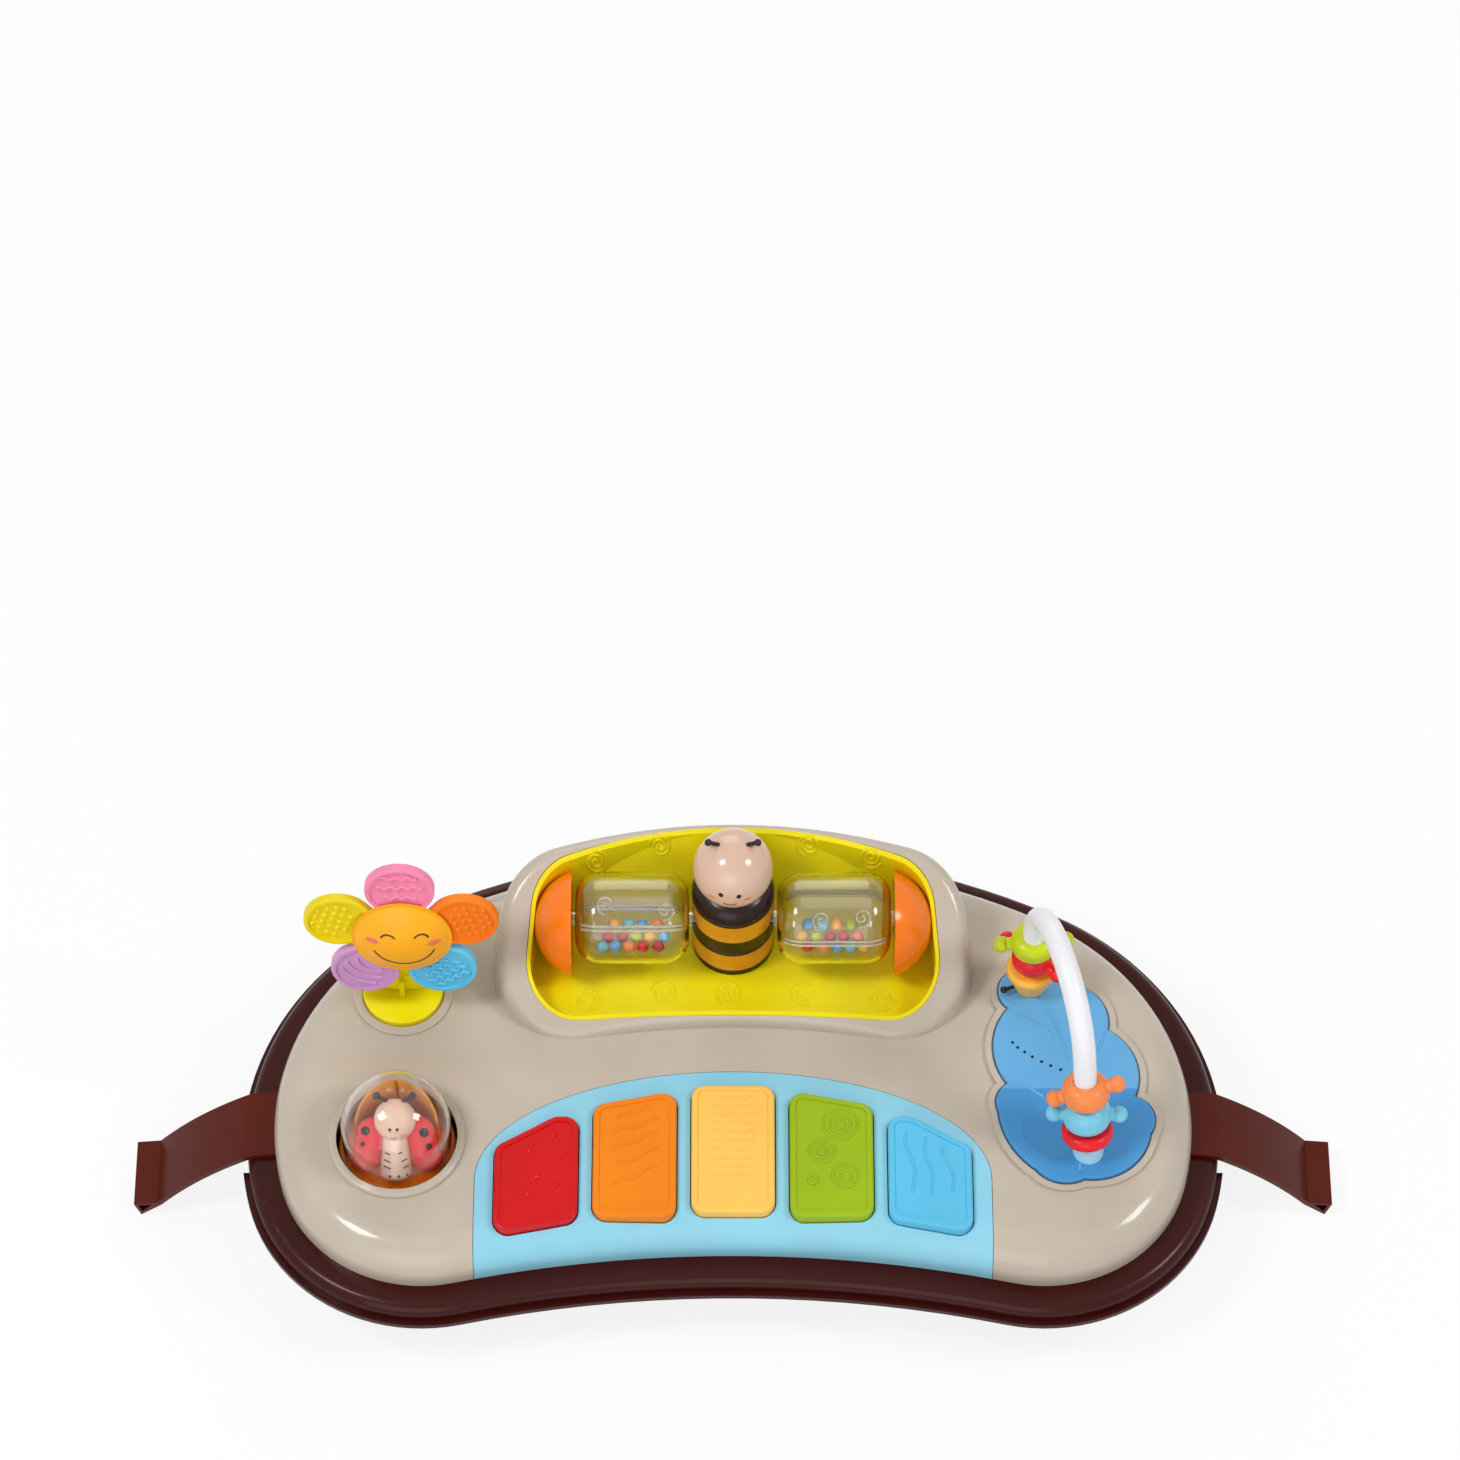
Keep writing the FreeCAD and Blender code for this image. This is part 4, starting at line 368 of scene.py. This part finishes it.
wearing = {
    "base_tray": "trayBrown", "battery_door": "trayBrown", "left_clip_arm": "armBrownPaintedLight",
    "right_clip_arm": "armBrownPaintedLight", "top_shell": "shellTaupe", "keyboard_panel": "panelBlue",
    "cove_panel": "coveGreen", "red_key": "keyRed", "orange_key": "keyOrange", "yellow_key": "keyYellow",
    "green_key": "keyGreen", "blue_key": "keyBlue", "circuit_board": "boardGreen", "speaker": "darkPlastic",
    "left_moon_bracket": "moonOrange", "right_moon_bracket": "moonOrange", "bee_head": "beeSkin",
    "bee_antennae": "feelerBlack", "pink_petal": "petalPink", "green_petal": "petalGreen",
    "purple_petal": "petalPurple", "blue_petal": "petalBlue", "orange_petal": "petalOrange",
    "flower_hub": "flowerYellow", "flower_face": "flowerYellow", "flower_stalk": "stalkGreen",
    "capsule_floor": "moonOrange", "ladybug_body": "beeSkin", "ladybug_head": "beeSkin",
    "ladybug_wings": "bugRed", "ladybug_antennae": "feelerBlack", "leaf_plate": "leafBlue",
    "leaf_front_lobes": "leafDeepBlue", "arch_rod": "rodWhite", "arch_collar": "collarBlue",
    "front_red_bead": "beadRed", "front_blue_bead": "beadBlue", "front_orange_bead": "beadOrange",
    "rear_yellow_bead": "beadYellow", "rear_bead_antenna": "feelerBlack", "rear_red_bead": "beadRed",
    "rear_green_bead": "beadGreen", "bee_body": "beeRinged", "batteries": "darkPlastic",
    "case_screws": "darkPlastic", "battery_door_screw": "darkPlastic",
    "capsule_dome": "clearPlastic", "left_drum_upper_half": "clearPlastic",
    "left_drum_lower_half": "clearPlastic", "right_drum_upper_half": "clearPlastic",
    "right_drum_lower_half": "clearPlastic",
}
for node, finish in wearing.items():
    data = nodes[node].data
    data.materials.clear()
    data.materials.append(finishes[finish])
print("finishes set on", len(wearing), "nodes")


# Raised details are laid on the piece that carries them, point by point

def facing(x, y, z, tilt, reach):
    # a frame at a place of the tray: tilt 0 looks down on it, tilt 90 looks at it from the front
    turn = Matrix.Rotation(math.radians(tilt), 4, "X")
    return Matrix.Translation(layout(x, y, z)) @ turn @ Matrix.Translation((0, 0, reach * mm))


def treeOf(node):
    data = nodes[node].data
    return BVHTree.FromPolygons([point.co for point in data.vertices],
                                [face.vertices for face in data.polygons])


def seen(px, py, node, reach=60):
    # a frame in front of the place on the node that the camera sees at this pixel of the photograph
    bpy.context.view_layer.update()
    camera = bpy.context.scene.camera.matrix_world
    pixel = view["sensor"] / view["lens"] / view["picture"]
    middle = view["picture"] / 2
    slant = (camera.to_3x3() @ Vector(((px - middle) * pixel, (middle - py) * pixel, -1))).normalized()
    spot = treeOf(node).ray_cast(camera.translation, slant)[0]
    turn = (-slant).to_track_quat("Z", "Y").to_matrix().to_4x4()
    return Matrix.Translation(spot - slant * reach * mm) @ turn


def layer(place, *carriers):
    # gives a function that drops a point of the frame's plane, in mm, onto the carriers
    trees = [treeOf(node) for node in carriers]
    down = -place.to_3x3().col[2].normalized()

    def lay(x, y, lift=0.0):
        start = place @ Vector((x * mm, y * mm, 0))
        hits = [hit for hit in (tree.ray_cast(start, down) for tree in trees) if hit[0] is not None]
        if not hits:  # beside its carrier, a point goes to the nearest place on it
            missed.append(carriers[0])
            hits = [trees[0].find_nearest(start + down * 50 * mm)]
        spot, normal = min(hits, key=lambda hit: hit[3])[:2]
        if normal.dot(down) > 0:
            normal = -normal
        return spot + normal * lift * mm
    return lay


def gather(main, mesh):
    # adds one detail's mesh to the piece's
    bmesh.ops.recalc_face_normals(mesh, faces=mesh.faces)
    part = bpy.data.meshes.new("part")
    mesh.to_mesh(part)
    mesh.free()
    main.from_mesh(part)
    bpy.data.meshes.remove(part)


def smoothTrail(points, steps, fineness=10):
    # an even walk along a smooth line through the points, and its length
    knots = [Vector(point) for point in points]
    knots = [knots[0] * 2 - knots[1], *knots, knots[-1] * 2 - knots[-2]]
    fine = []
    for a, b, c, d in zip(knots, knots[1:], knots[2:], knots[3:]):
        for i in range(fineness):
            t = i / fineness
            square = (a * 2 - b * 5 + c * 4 - d) * t ** 2
            cube = (b * 3 - a - c * 3 + d) * t ** 3
            fine.append((b * 2 + (c - a) * t + square + cube) / 2)
    fine.append(knots[-2])
    far = [0.0]
    for a, b in zip(fine, fine[1:]):
        far.append(far[-1] + (b - a).length)
    walk = []
    k = 0
    for i in range(steps + 1):
        goal = far[-1] * i / steps
        while k < len(fine) - 2 and far[k + 1] < goal:
            k += 1
        walk.append(fine[k].lerp(fine[k + 1], (goal - far[k]) / max(1e-9, far[k + 1] - far[k])))
    return walk, far[-1]


def lifted(height):
    return height if height > 0 else height * sunk


def addRidge(main, points, width, height, lay, steps=36, sides=8, closed=False):
    # a round-backed ridge along the points; its ends are drawn shut unless it is a ring
    walk, length = smoothTrail(points, steps)
    mesh = bmesh.new()
    bmesh.ops.create_grid(mesh, x_segments=steps, y_segments=sides, size=1)
    for dot in mesh.verts:
        along = round((dot.co.x + 1) / 2 * steps)
        turn = (dot.co.y + 1) * math.pi
        if closed:
            ahead = walk[(along + 1) % steps] - walk[(along - 1) % steps]
            swell = 1
        else:
            ahead = walk[min(steps, along + 1)] - walk[max(0, along - 1)]
            gap = min(along, steps - along) / steps * length
            swell = math.sqrt(1 - (1 - min(gap / (width / 2), 1)) ** 2)
        side = Vector((-ahead.y, ahead.x)).normalized()
        here = walk[along] + side * math.cos(turn) * swell * width / 2
        dot.co = lay(here.x, here.y, lifted(math.sin(turn) * swell * height))
    bmesh.ops.remove_doubles(mesh, verts=mesh.verts, dist=1e-6)
    gather(main, mesh)


def addDot(main, x, y, radius, height, lay, stretch=1.0):
    # a low round stud; its stretch lengthens it along the frame's y
    mesh = bmesh.new()
    bmesh.ops.create_uvsphere(mesh, u_segments=16, v_segments=8, radius=1)
    for dot in mesh.verts:
        dot.co = lay(x + dot.co.x * radius, y + dot.co.y * radius * stretch, lifted(dot.co.z * height))
    gather(main, mesh)


def addRing(main, x, y, radius, width, height, lay, corners=24):
    turns = [i * math.tau / corners for i in range(corners + 1)]
    ring = [(x + radius * math.cos(turn), y + radius * math.sin(turn)) for turn in turns]
    addRidge(main, ring, width, height, lay, steps=48, closed=True)


def spiral(x, y, radius, turns, start=0.0, hand=1, inner=0.12):
    # a curl from near its middle outwards; hand -1 turns it the other way
    count = int(turns * 12)
    points = []
    for i in range(count + 1):
        swing = start + hand * i / count * turns * math.tau
        reach = radius * (inner + (1 - inner) * i / count)
        points.append((x + reach * math.cos(swing), y + reach * math.sin(swing)))
    return points


def wavy(ax, ay, bx, by, swing, waves):
    # a wave from a to b with the given swing to each side
    run = Vector((bx - ax, by - ay))
    side = Vector((-run.y, run.x)).normalized() * swing
    count = max(4, int(waves * 6))
    return [Vector((ax, ay)) + run * i / count + side * math.sin(i / count * waves * math.tau)
            for i in range(count + 1)]


def dress(main, name, finish, body):
    piece = pieceFrom(main, name)
    piece.data.materials.append(finishes[finish])
    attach(piece, body)
    return piece


# Keys: each has its own raised pattern inside its rim
keyPatterns = {
    "pitch": 49.4, "colours": ("red", "orange", "yellow", "green", "blue"),
    "redDots": [(8.4, -51.3, 1.9), (-3.5, -60.8, 1.6), (11.7, -65.8, 1.6), (0.8, -74.9, 1.7),
                (10.6, -79.4, 1.4), (-4.4, -85.4, 1.6)],
    "redTall": 0.9,
    "orangeWaves": [(-8.8, -41.0, 7.6, -35.6), (-10.4, -50.0, 11.6, -42.0), (-11.2, -60, 11.4, -49.3),
                    (-9.8, -69, 11.9, -59.1), (-10.6, -79.7, 11.4, -69)],
    "orangeSwing": 0.9, "orangeTurns": 1.5,
    "yellowWaves": {"left": -11.0, "right": 11.6, "first": -30.0, "step": 4.9, "count": 10,
                    "swing": 0.5, "turns": 2.5, "width": 1.0, "height": 0.4},
    "greenRings": [(4.7, -45.1, (2.4, 5.3, 8.6)), (-4.7, -60.6, (1.9, 3.9, 6.5)),
                   (7.0, -74.9, (3.2, 6.5)), (-9.4, -77, (2.3,))],
    "blueLines": [[(-11.4, -49.5), (-12.2, -56.5), (-7.7, -70.8), (-9.5, -85.0)],
                  [(-1.8, -52.5), (-2.6, -62.0), (0.9, -72.5), (0.2, -86.0)],
                  [(7.0, -57.5), (6.2, -62.0), (11.4, -74.3), (10.8, -84.0)]],
    "width": 1.4, "height": 0.6,
}


def addKeyPatterns():
    look = keyPatterns
    line = (look["width"], look["height"])
    lays = {}
    for step, colour in enumerate(look["colours"]):
        lays[colour] = layer(facing((step - 2) * look["pitch"], 0, 0, 0, above), colour + "_key")
    meshes = {colour: bmesh.new() for colour in lays}
    for x, y, radius in look["redDots"]:
        addDot(meshes["red"], x, y, radius, look["redTall"], lays["red"])
    for ends in look["orangeWaves"]:
        wave = wavy(*ends, look["orangeSwing"], look["orangeTurns"])
        addRidge(meshes["orange"], wave, *line, lays["orange"])
    fine = look["yellowWaves"]
    for i in range(fine["count"]):
        y = fine["first"] - i * fine["step"]
        wave = wavy(fine["left"], y, fine["right"], y, fine["swing"], fine["turns"])
        addRidge(meshes["yellow"], wave, fine["width"], fine["height"], lays["yellow"])
    for x, y, radii in look["greenRings"]:
        for radius in radii:
            addRing(meshes["green"], x, y, radius, *line, lays["green"])
    for points in look["blueLines"]:
        addRidge(meshes["blue"], points, *line, lays["blue"])
    for colour, mesh in meshes.items():
        dress(mesh, colour + "KeyPattern", "key" + colour.capitalize(), colour + "_key")


# Cove: nine moulded spirals, five on the floor and four on the back wall where the photograph shows them
coveSpirals = {
    "floor": [(-74.0, 28.4), (-35.3, 33.1), (-1.5, 33.1), (36.3, 33.1), (76.1, 29.6)],
    "wall": [(596, 862), (660, 846), (809, 845), (871, 857)],
    "floorRadius": 7.0, "wallRadius": 6.0, "floorTwist": 1.1, "wallTwist": 1.3,
    "turns": 2.3, "width": 1.4, "height": 0.6, "steps": 72, "wallReach": 20,
}


def addCoveSpirals():
    look = coveSpirals
    line = (look["width"], look["height"])
    mesh = bmesh.new()
    floorLay = layer(facing(0, 0, 0, 0, above), "cove_panel")
    for step, (x, y) in enumerate(look["floor"]):
        curl = spiral(x, y, look["floorRadius"], look["turns"], step * look["floorTwist"])
        addRidge(mesh, curl, *line, floorLay, look["steps"])
    for step, (px, py) in enumerate(look["wall"]):
        wallLay = layer(seen(px, py, "cove_panel", look["wallReach"]), "cove_panel")
        curl = spiral(0, 0, look["wallRadius"], look["turns"], step * look["wallTwist"])
        addRidge(mesh, curl, *line, wallLay, look["steps"])
    dress(mesh, "coveSpirals", "coveGreen", "tray")


# Bee: two eyes, a smile and rosy cheeks on the front of the head
beeLook = {
    "middle": (0, 65.1, 144.5), "reach": 50,
    "eyes": [(-6.1, 4.2), (2.9, 4.0)], "eye": (1.25, 0.35), "eyeStretch": 1.15,
    "smile": [(-5.2, -2.0), (-1.6, -3.3), (2.0, -2.0)], "line": (0.8, 0.2),
    "cheeks": [(-10.6, 0.2), (7.4, 0.6)], "cheek": (2.0, 0.12), "cheekStretch": 0.6,
}


def addBeeFace():
    look = beeLook
    lay = layer(facing(*look["middle"], 90, look["reach"]), "bee_head")
    ink = bmesh.new()
    for x, y in look["eyes"]:
        addDot(ink, x, y, *look["eye"], lay, look["eyeStretch"])
    addRidge(ink, look["smile"], *look["line"], lay)
    dress(ink, "beeEyesAndSmile", "inkAndHoleShadeBlack", "bee_head")
    blush = bmesh.new()
    for x, y in look["cheeks"]:
        addDot(blush, x, y, *look["cheek"], lay, look["cheekStretch"])
    dress(blush, "beeCheeks", "blushRose", "bee_head")


# Flower: closed happy eyes, a wide smile, cheeks, and a teething pattern on each petal
flowerLook = {
    "middle": (-166, 32, 139.5), "tilt": 81.4, "reach": 40,
    "eyes": [[(-10.3, 6.2), (-8.9, 8.1), (-6.7, 8.9), (-4.5, 8.3), (-2.9, 6.8)],
             [(6.5, 6.5), (8.0, 8.1), (10.3, 8.6), (12.5, 7.6), (13.9, 5.6)]],
    "smile": [(-14.2, -3.9), (-11.1, -8.8), (-6.7, -12.3), (0.4, -14.5), (8.4, -13.0), (13.8, -8.8),
              (16.6, -4.1)],
    "line": (1.1, 0.3),
    "cheeks": [(-14.5, 3.2), (16.4, 1.0)], "cheek": (3.4, 0.12), "cheekStretch": 0.6,
    "petals": {"pink": 90, "green": 162, "purple": 234, "blue": 306, "orange": 18},
    "fieldMiddle": 36.5, "fieldLong": 11.5, "fieldWide": 12.5, "rowMargin": 1.0,
    # distances of a petal's rows from the middle, then their swing, wave length, width, height and bow
    "rows": {
        "pink": ((28.8, 36.2, 43.2), (1.0, 6.2, 2.0, 1.3, 0.0)),
        "blue": ((28.2, 32.8, 37.4, 42.0), (1.1, 4.8, 1.6, 1.2, 0.0)),
        "purple": ((29.0, 34.0, 39.0), (0.0, 60, 2.0, 1.1, 3.5)),
    },
    "studs": {"rows": 5, "first": 28.0, "step": 4.3, "margin": 1.6, "apart": 5, "stud": (1.4, 1.2)},
}


def acrossField(along):
    # half the width of a petal's sunk field at this distance from the flower's middle
    look = flowerLook
    share = 1 - ((along - look["fieldMiddle"]) / look["fieldLong"]) ** 2
    return look["fieldWide"] * math.sqrt(max(0, share))


def onPetal(direction, across, along):
    swing = math.radians(direction)
    return (along * math.cos(swing) + across * math.sin(swing),
            along * math.sin(swing) - across * math.cos(swing))


def addPetalRow(mesh, direction, along, shape, lay):
    swing, length, width, height, bow = shape
    half = acrossField(along) - flowerLook["rowMargin"]
    waves = max(1, round(2 * half / length))
    count = waves * 6
    points = []
    for i in range(count + 1):
        share = i / count * 2 - 1
        wave = swing * math.sin(i / count * waves * math.tau)
        points.append(onPetal(direction, share * half, along + wave + bow * (1 - share ** 2)))
    addRidge(mesh, points, width, height, lay, steps=60)


def addPetalStuds(mesh, direction, lay):
    studs = flowerLook["studs"]
    for step in range(studs["rows"]):
        along = studs["first"] + step * studs["step"]
        half = acrossField(along) - studs["margin"]
        count = int(2 * half / studs["apart"]) + 1
        for i in range(count):
            across = (i - (count - 1) / 2) * studs["apart"]
            addDot(mesh, *onPetal(direction, across, along), *studs["stud"], lay)


def addFlowerDetails():
    look = flowerLook
    place = facing(*look["middle"], look["tilt"], look["reach"])
    faceLay = layer(place, "flower_face")
    ink = bmesh.new()
    for points in (*look["eyes"], look["smile"]):
        addRidge(ink, points, *look["line"], faceLay)
    dress(ink, "flowerEyesAndSmile", "inkBrown", "flower_head")
    blush = bmesh.new()
    for x, y in look["cheeks"]:
        addDot(blush, x, y, *look["cheek"], faceLay, look["cheekStretch"])
    dress(blush, "flowerCheeks", "blushRose", "flower_head")
    for colour, direction in look["petals"].items():
        mesh = bmesh.new()
        lay = layer(place, colour + "_petal")
        if colour in look["rows"]:
            distances, shape = look["rows"][colour]
            for along in distances:
                addPetalRow(mesh, direction, along, shape, lay)
        else:
            addPetalStuds(mesh, direction, lay)
        dress(mesh, colour + "PetalPattern", "petal" + colour.capitalize(), "flower_head")


# Drums: a double seam band and two moulded curls each, whitened as a painted highlight, and loose beads of
# seven colours
drumLook = {
    "place": 51.3, "back": 59, "level": 106.1, "length": 57.8, "reach": 60,
    "seams": {"left": 45, "right": 25},  # how far each seam is turned up from the drum's front, in degrees
    "seam": (1.5, 0.5), "seamShort": 2.5, "seamApart": 1.1,
    "curls": {"left": [(606, 905), (665, 911)], "right": [(822, 921), (862, 918)]},
    "curlRadius": 5.0, "curlTurns": 1.6, "curlStart": 0.8, "curl": (1.0, 0.45),
    "bead": 3.2, "orbit": 18.6, "scatter": 0.3,
    # each row's shift round the drum, and the places of its beads along the axle
    "rows": [(-6.9, (-15.6, -8.9, -1.8, 5.2, 13.1)), (-0.2, (-12.6, -5.3, 1.5, 8.9, 16.2)),
             (6.6, (-9.3, -1.7, 5.2, 12.9))],
    "beads": ["beadBlue", "beadGreen", "keyRed", "leafBlue", "beadYellow", "darkRed", "beadOrange"],
}


def addDrumMoulding(side, name):
    look = drumLook
    halves = (name + "_drum_upper_half", name + "_drum_lower_half")
    mesh = bmesh.new()
    seam = look["seams"][name]
    end = look["length"] / 2 - look["seamShort"]
    for turn in (90 - seam, 270 - seam):
        lay = layer(facing(side * look["place"], look["back"], look["level"], turn, look["reach"]), *halves)
        for offset in (-look["seamApart"], look["seamApart"]):
            addRidge(mesh, [(-end, offset), (0, offset), (end, offset)], *look["seam"], lay, steps=48)
    for step, (px, py) in enumerate(look["curls"][name]):
        curl = spiral(0, 0, look["curlRadius"], look["curlTurns"], look["curlStart"] + step, 1 - 2 * step)
        addRidge(mesh, curl, *look["curl"], layer(seen(px, py, halves[0]), *halves), steps=60)
    # the seams and curls wear a less clear, whiter plastic: painted highlight for the glints along them
    dress(mesh, name + "DrumMouldingGlint", "paintedGlintClear", name + "_drum")


def addRattleBeads(side, name):
    look = drumLook
    mesh = bmesh.new()
    for row, (shift, places) in enumerate(look["rows"]):
        for i, place in enumerate(places):
            swing = math.radians(-90) + (shift + look["scatter"] * math.sin(place * 2)) / look["orbit"]
            spot = layout(side * (look["place"] - place), look["back"] + look["orbit"] * math.cos(swing),
                          look["level"] + look["orbit"] * math.sin(swing))
            made = bmesh.ops.create_uvsphere(mesh, u_segments=24, v_segments=14, radius=look["bead"] * mm,
                                             matrix=Matrix.Translation(spot))
            # neighbours, rows and drums start at different colours
            tone = (i * 3 + row * 2 + (0 if side < 0 else 4)) % len(look["beads"])
            for face in {face for point in made["verts"] for face in point.link_faces}:
                face.material_index = tone
    piece = pieceFrom(mesh, name + "RattleBeads")
    for tone in look["beads"]:
        piece.data.materials.append(finishes[tone])
    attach(piece, name + "_drum")
    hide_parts(name + "_drum_beads")


# Ladybug: face, belly marks and wing spots where the photograph shows them
bugLook = {
    "head": (-169.1, -52.27, 94.7), "tilt": 56, "reach": 30,
    "eyes": [(-2.0, -0.5), (1.6, -0.4)], "eye": (0.8, 0.2), "eyeStretch": 1.2,
    "smile": [(-1.6, -5.5), (-0.3, -6.3), (1.0, -5.5)], "line": (0.6, 0.15),
    "cheeks": [(-5.0, -4.6), (4.6, -4.2)], "cheek": (1.3, 0.1), "cheekStretch": 0.6,
    "belly": (396, 1160), "pixel": 0.512,  # width in mm of the photograph's pixel at the belly
    "dashes": [(385.6, 1151.8, 391.0, 1154.4), (384.2, 1158.2, 391.0, 1162.4), (383.2, 1164.3, 390.4, 1168.5),
               (398.8, 1154.4, 402.9, 1153.1), (400.8, 1162.2, 407.4, 1159.7), (402.1, 1168.8, 408.4, 1166.3)],
    "dash": (0.7, 0.15),
    "dots": [(388.9, 1174.1), (397.3, 1174.8), (405.5, 1174.1)], "dot": (0.7, 0.15),
    "spots": [(365.4, 1130.9, 2.3), (362.4, 1144.2, 1.3), (423.8, 1132.6, 2.5), (428.8, 1146.2, 1.7)],
    "spotTall": 0.15,
}


def onBelly(px, py):
    look = bugLook
    return ((px - look["belly"][0]) * look["pixel"], (look["belly"][1] - py) * look["pixel"])


def addBugMarks():
    look = bugLook
    headLay = layer(facing(*look["head"], look["tilt"], look["reach"]), "ladybug_head")
    ink = bmesh.new()
    for x, y in look["eyes"]:
        addDot(ink, x, y, *look["eye"], headLay, look["eyeStretch"])
    addRidge(ink, look["smile"], *look["line"], headLay)
    bellyLay = layer(seen(*look["belly"], "ladybug_body"), "ladybug_body", "capsule_floor")
    for ax, ay, bx, by in look["dashes"]:
        addRidge(ink, [onBelly(ax, ay), onBelly(bx, by)], *look["dash"], bellyLay, steps=16)
    for px, py in look["dots"]:
        addDot(ink, *onBelly(px, py), *look["dot"], bellyLay)
    for px, py, radius in look["spots"]:
        wingLay = layer(seen(px, py, "ladybug_wings"), "ladybug_wings")
        addDot(ink, 0, 0, radius, look["spotTall"], wingLay)
    dress(ink, "ladybugMarks", "inkAndHoleShadeBlack", "capsule")
    blush = bmesh.new()
    for x, y in look["cheeks"]:
        addDot(blush, x, y, *look["cheek"], headLay, look["cheekStretch"])
    dress(blush, "ladybugCheeks", "blushPink", "capsule")


# Capsule: the curved wall that stands behind the ladybug, cut upright in front and sloping at the back
wallLook = {
    "axis": (-169.1, -51.7), "radius": 21.5, "thick": 1.2, "top": 97.0,
    "open": 4.0, "sunk": 0.6, "slope": (0, -0.55, 0.84),
}


def addCapsuleWall():
    wall = wallLook
    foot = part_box("capsule_floor")[1][2] / mm - wall["sunk"]
    mesh = bmesh.new()
    middle = Matrix.Translation(layout(*wall["axis"], (foot + wall["top"]) / 2))
    bmesh.ops.create_cone(mesh, cap_ends=False, segments=96, radius1=wall["radius"] * mm,
                          radius2=wall["radius"] * mm, depth=(wall["top"] - foot) * mm, matrix=middle)
    front = layout(wall["axis"][0], wall["axis"][1] + wall["open"], wall["top"])
    back = front + Vector((0, wall["radius"] - wall["open"], 0)) * mm
    for point, aim in ((front, (0, -1, 0)), (back, wall["slope"])):
        bmesh.ops.bisect_plane(mesh, geom=mesh.verts[:] + mesh.edges[:] + mesh.faces[:],
                               plane_co=point, plane_no=aim, clear_outer=True)
    bmesh.ops.recalc_face_normals(mesh, faces=mesh.faces)
    bmesh.ops.solidify(mesh, geom=mesh.faces[:], thickness=wall["thick"] * mm)
    bmesh.ops.recalc_face_normals(mesh, faces=mesh.faces)
    dress(mesh, "capsuleBackWall", "backWallTan", "capsule")


# Leaf: moulded veins, the line beside the front notch, and a black disc of painted shade in each speaker hole
# of the row
leafLook = {
    "veins": [[(155.5, 29.3), (161.6, 18.6), (167.6, 1.4), (170, -8.2)],
              [(143.6, 19.6), (153.1, 13.2), (163.1, 5.7)],
              [(189, 8.9), (186.9, 1.4), (185.4, -2.8)],
              [(139.2, -23), (144.3, -22.5), (150.2, -25.1), (157.4, -30.4)],
              [(173.6, -72.2), (174.1, -66)]],
    "vein": (1.6, 0.5),
    "holes": [(1012.7, 1042.5), (1017.7, 1047.5), (1024.6, 1052), (1032.3, 1056.8), (1041.6, 1061.6),
              (1050.7, 1065.7), (1060.7, 1069.6)],
    "hole": (0.8, 0.04),
}


def addLeafDetails():
    veins = bmesh.new()
    lay = layer(facing(0, 0, 0, 0, above), "leaf_plate", "leaf_front_lobes")
    for points in leafLook["veins"]:
        addRidge(veins, points, *leafLook["vein"], lay)
    dress(veins, "leafVeins", "leafBlue", "tray")
    holes = bmesh.new()
    # each speaker hole gets a flat black disc: painted shade for the dark inside the hole
    for px, py in leafLook["holes"]:
        addDot(holes, 0, 0, *leafLook["hole"], layer(seen(px, py, "leaf_plate"), "leaf_plate"))
    dress(holes, "speakerHoleShade", "inkAndHoleShadeBlack", "tray")


def addSoftDomes():
    for colour in keyPatterns["colours"]:
        node = colour + "_key_dome"
        mesh = bmesh.new()
        mesh.from_mesh(nodes[node].data)
        bmesh.ops.remove_doubles(mesh, verts=mesh.verts, dist=1e-6)
        piece = dress(mesh, colour + "SoftDome", "domeSilicone", "tray")
        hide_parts(node)
        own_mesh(piece)


addSoftDomes()
addKeyPatterns()
addCoveSpirals()
addBeeFace()
addFlowerDetails()
for side, name in ((-1, "left"), (1, "right")):
    addDrumMoulding(side, name)
    addRattleBeads(side, name)
addBugMarks()
addCapsuleWall()
addLeafDetails()
print("details laid; points that missed their carrier:", {node: missed.count(node) for node in set(missed)})

bpy.context.scene.view_settings.view_transform = "Standard"
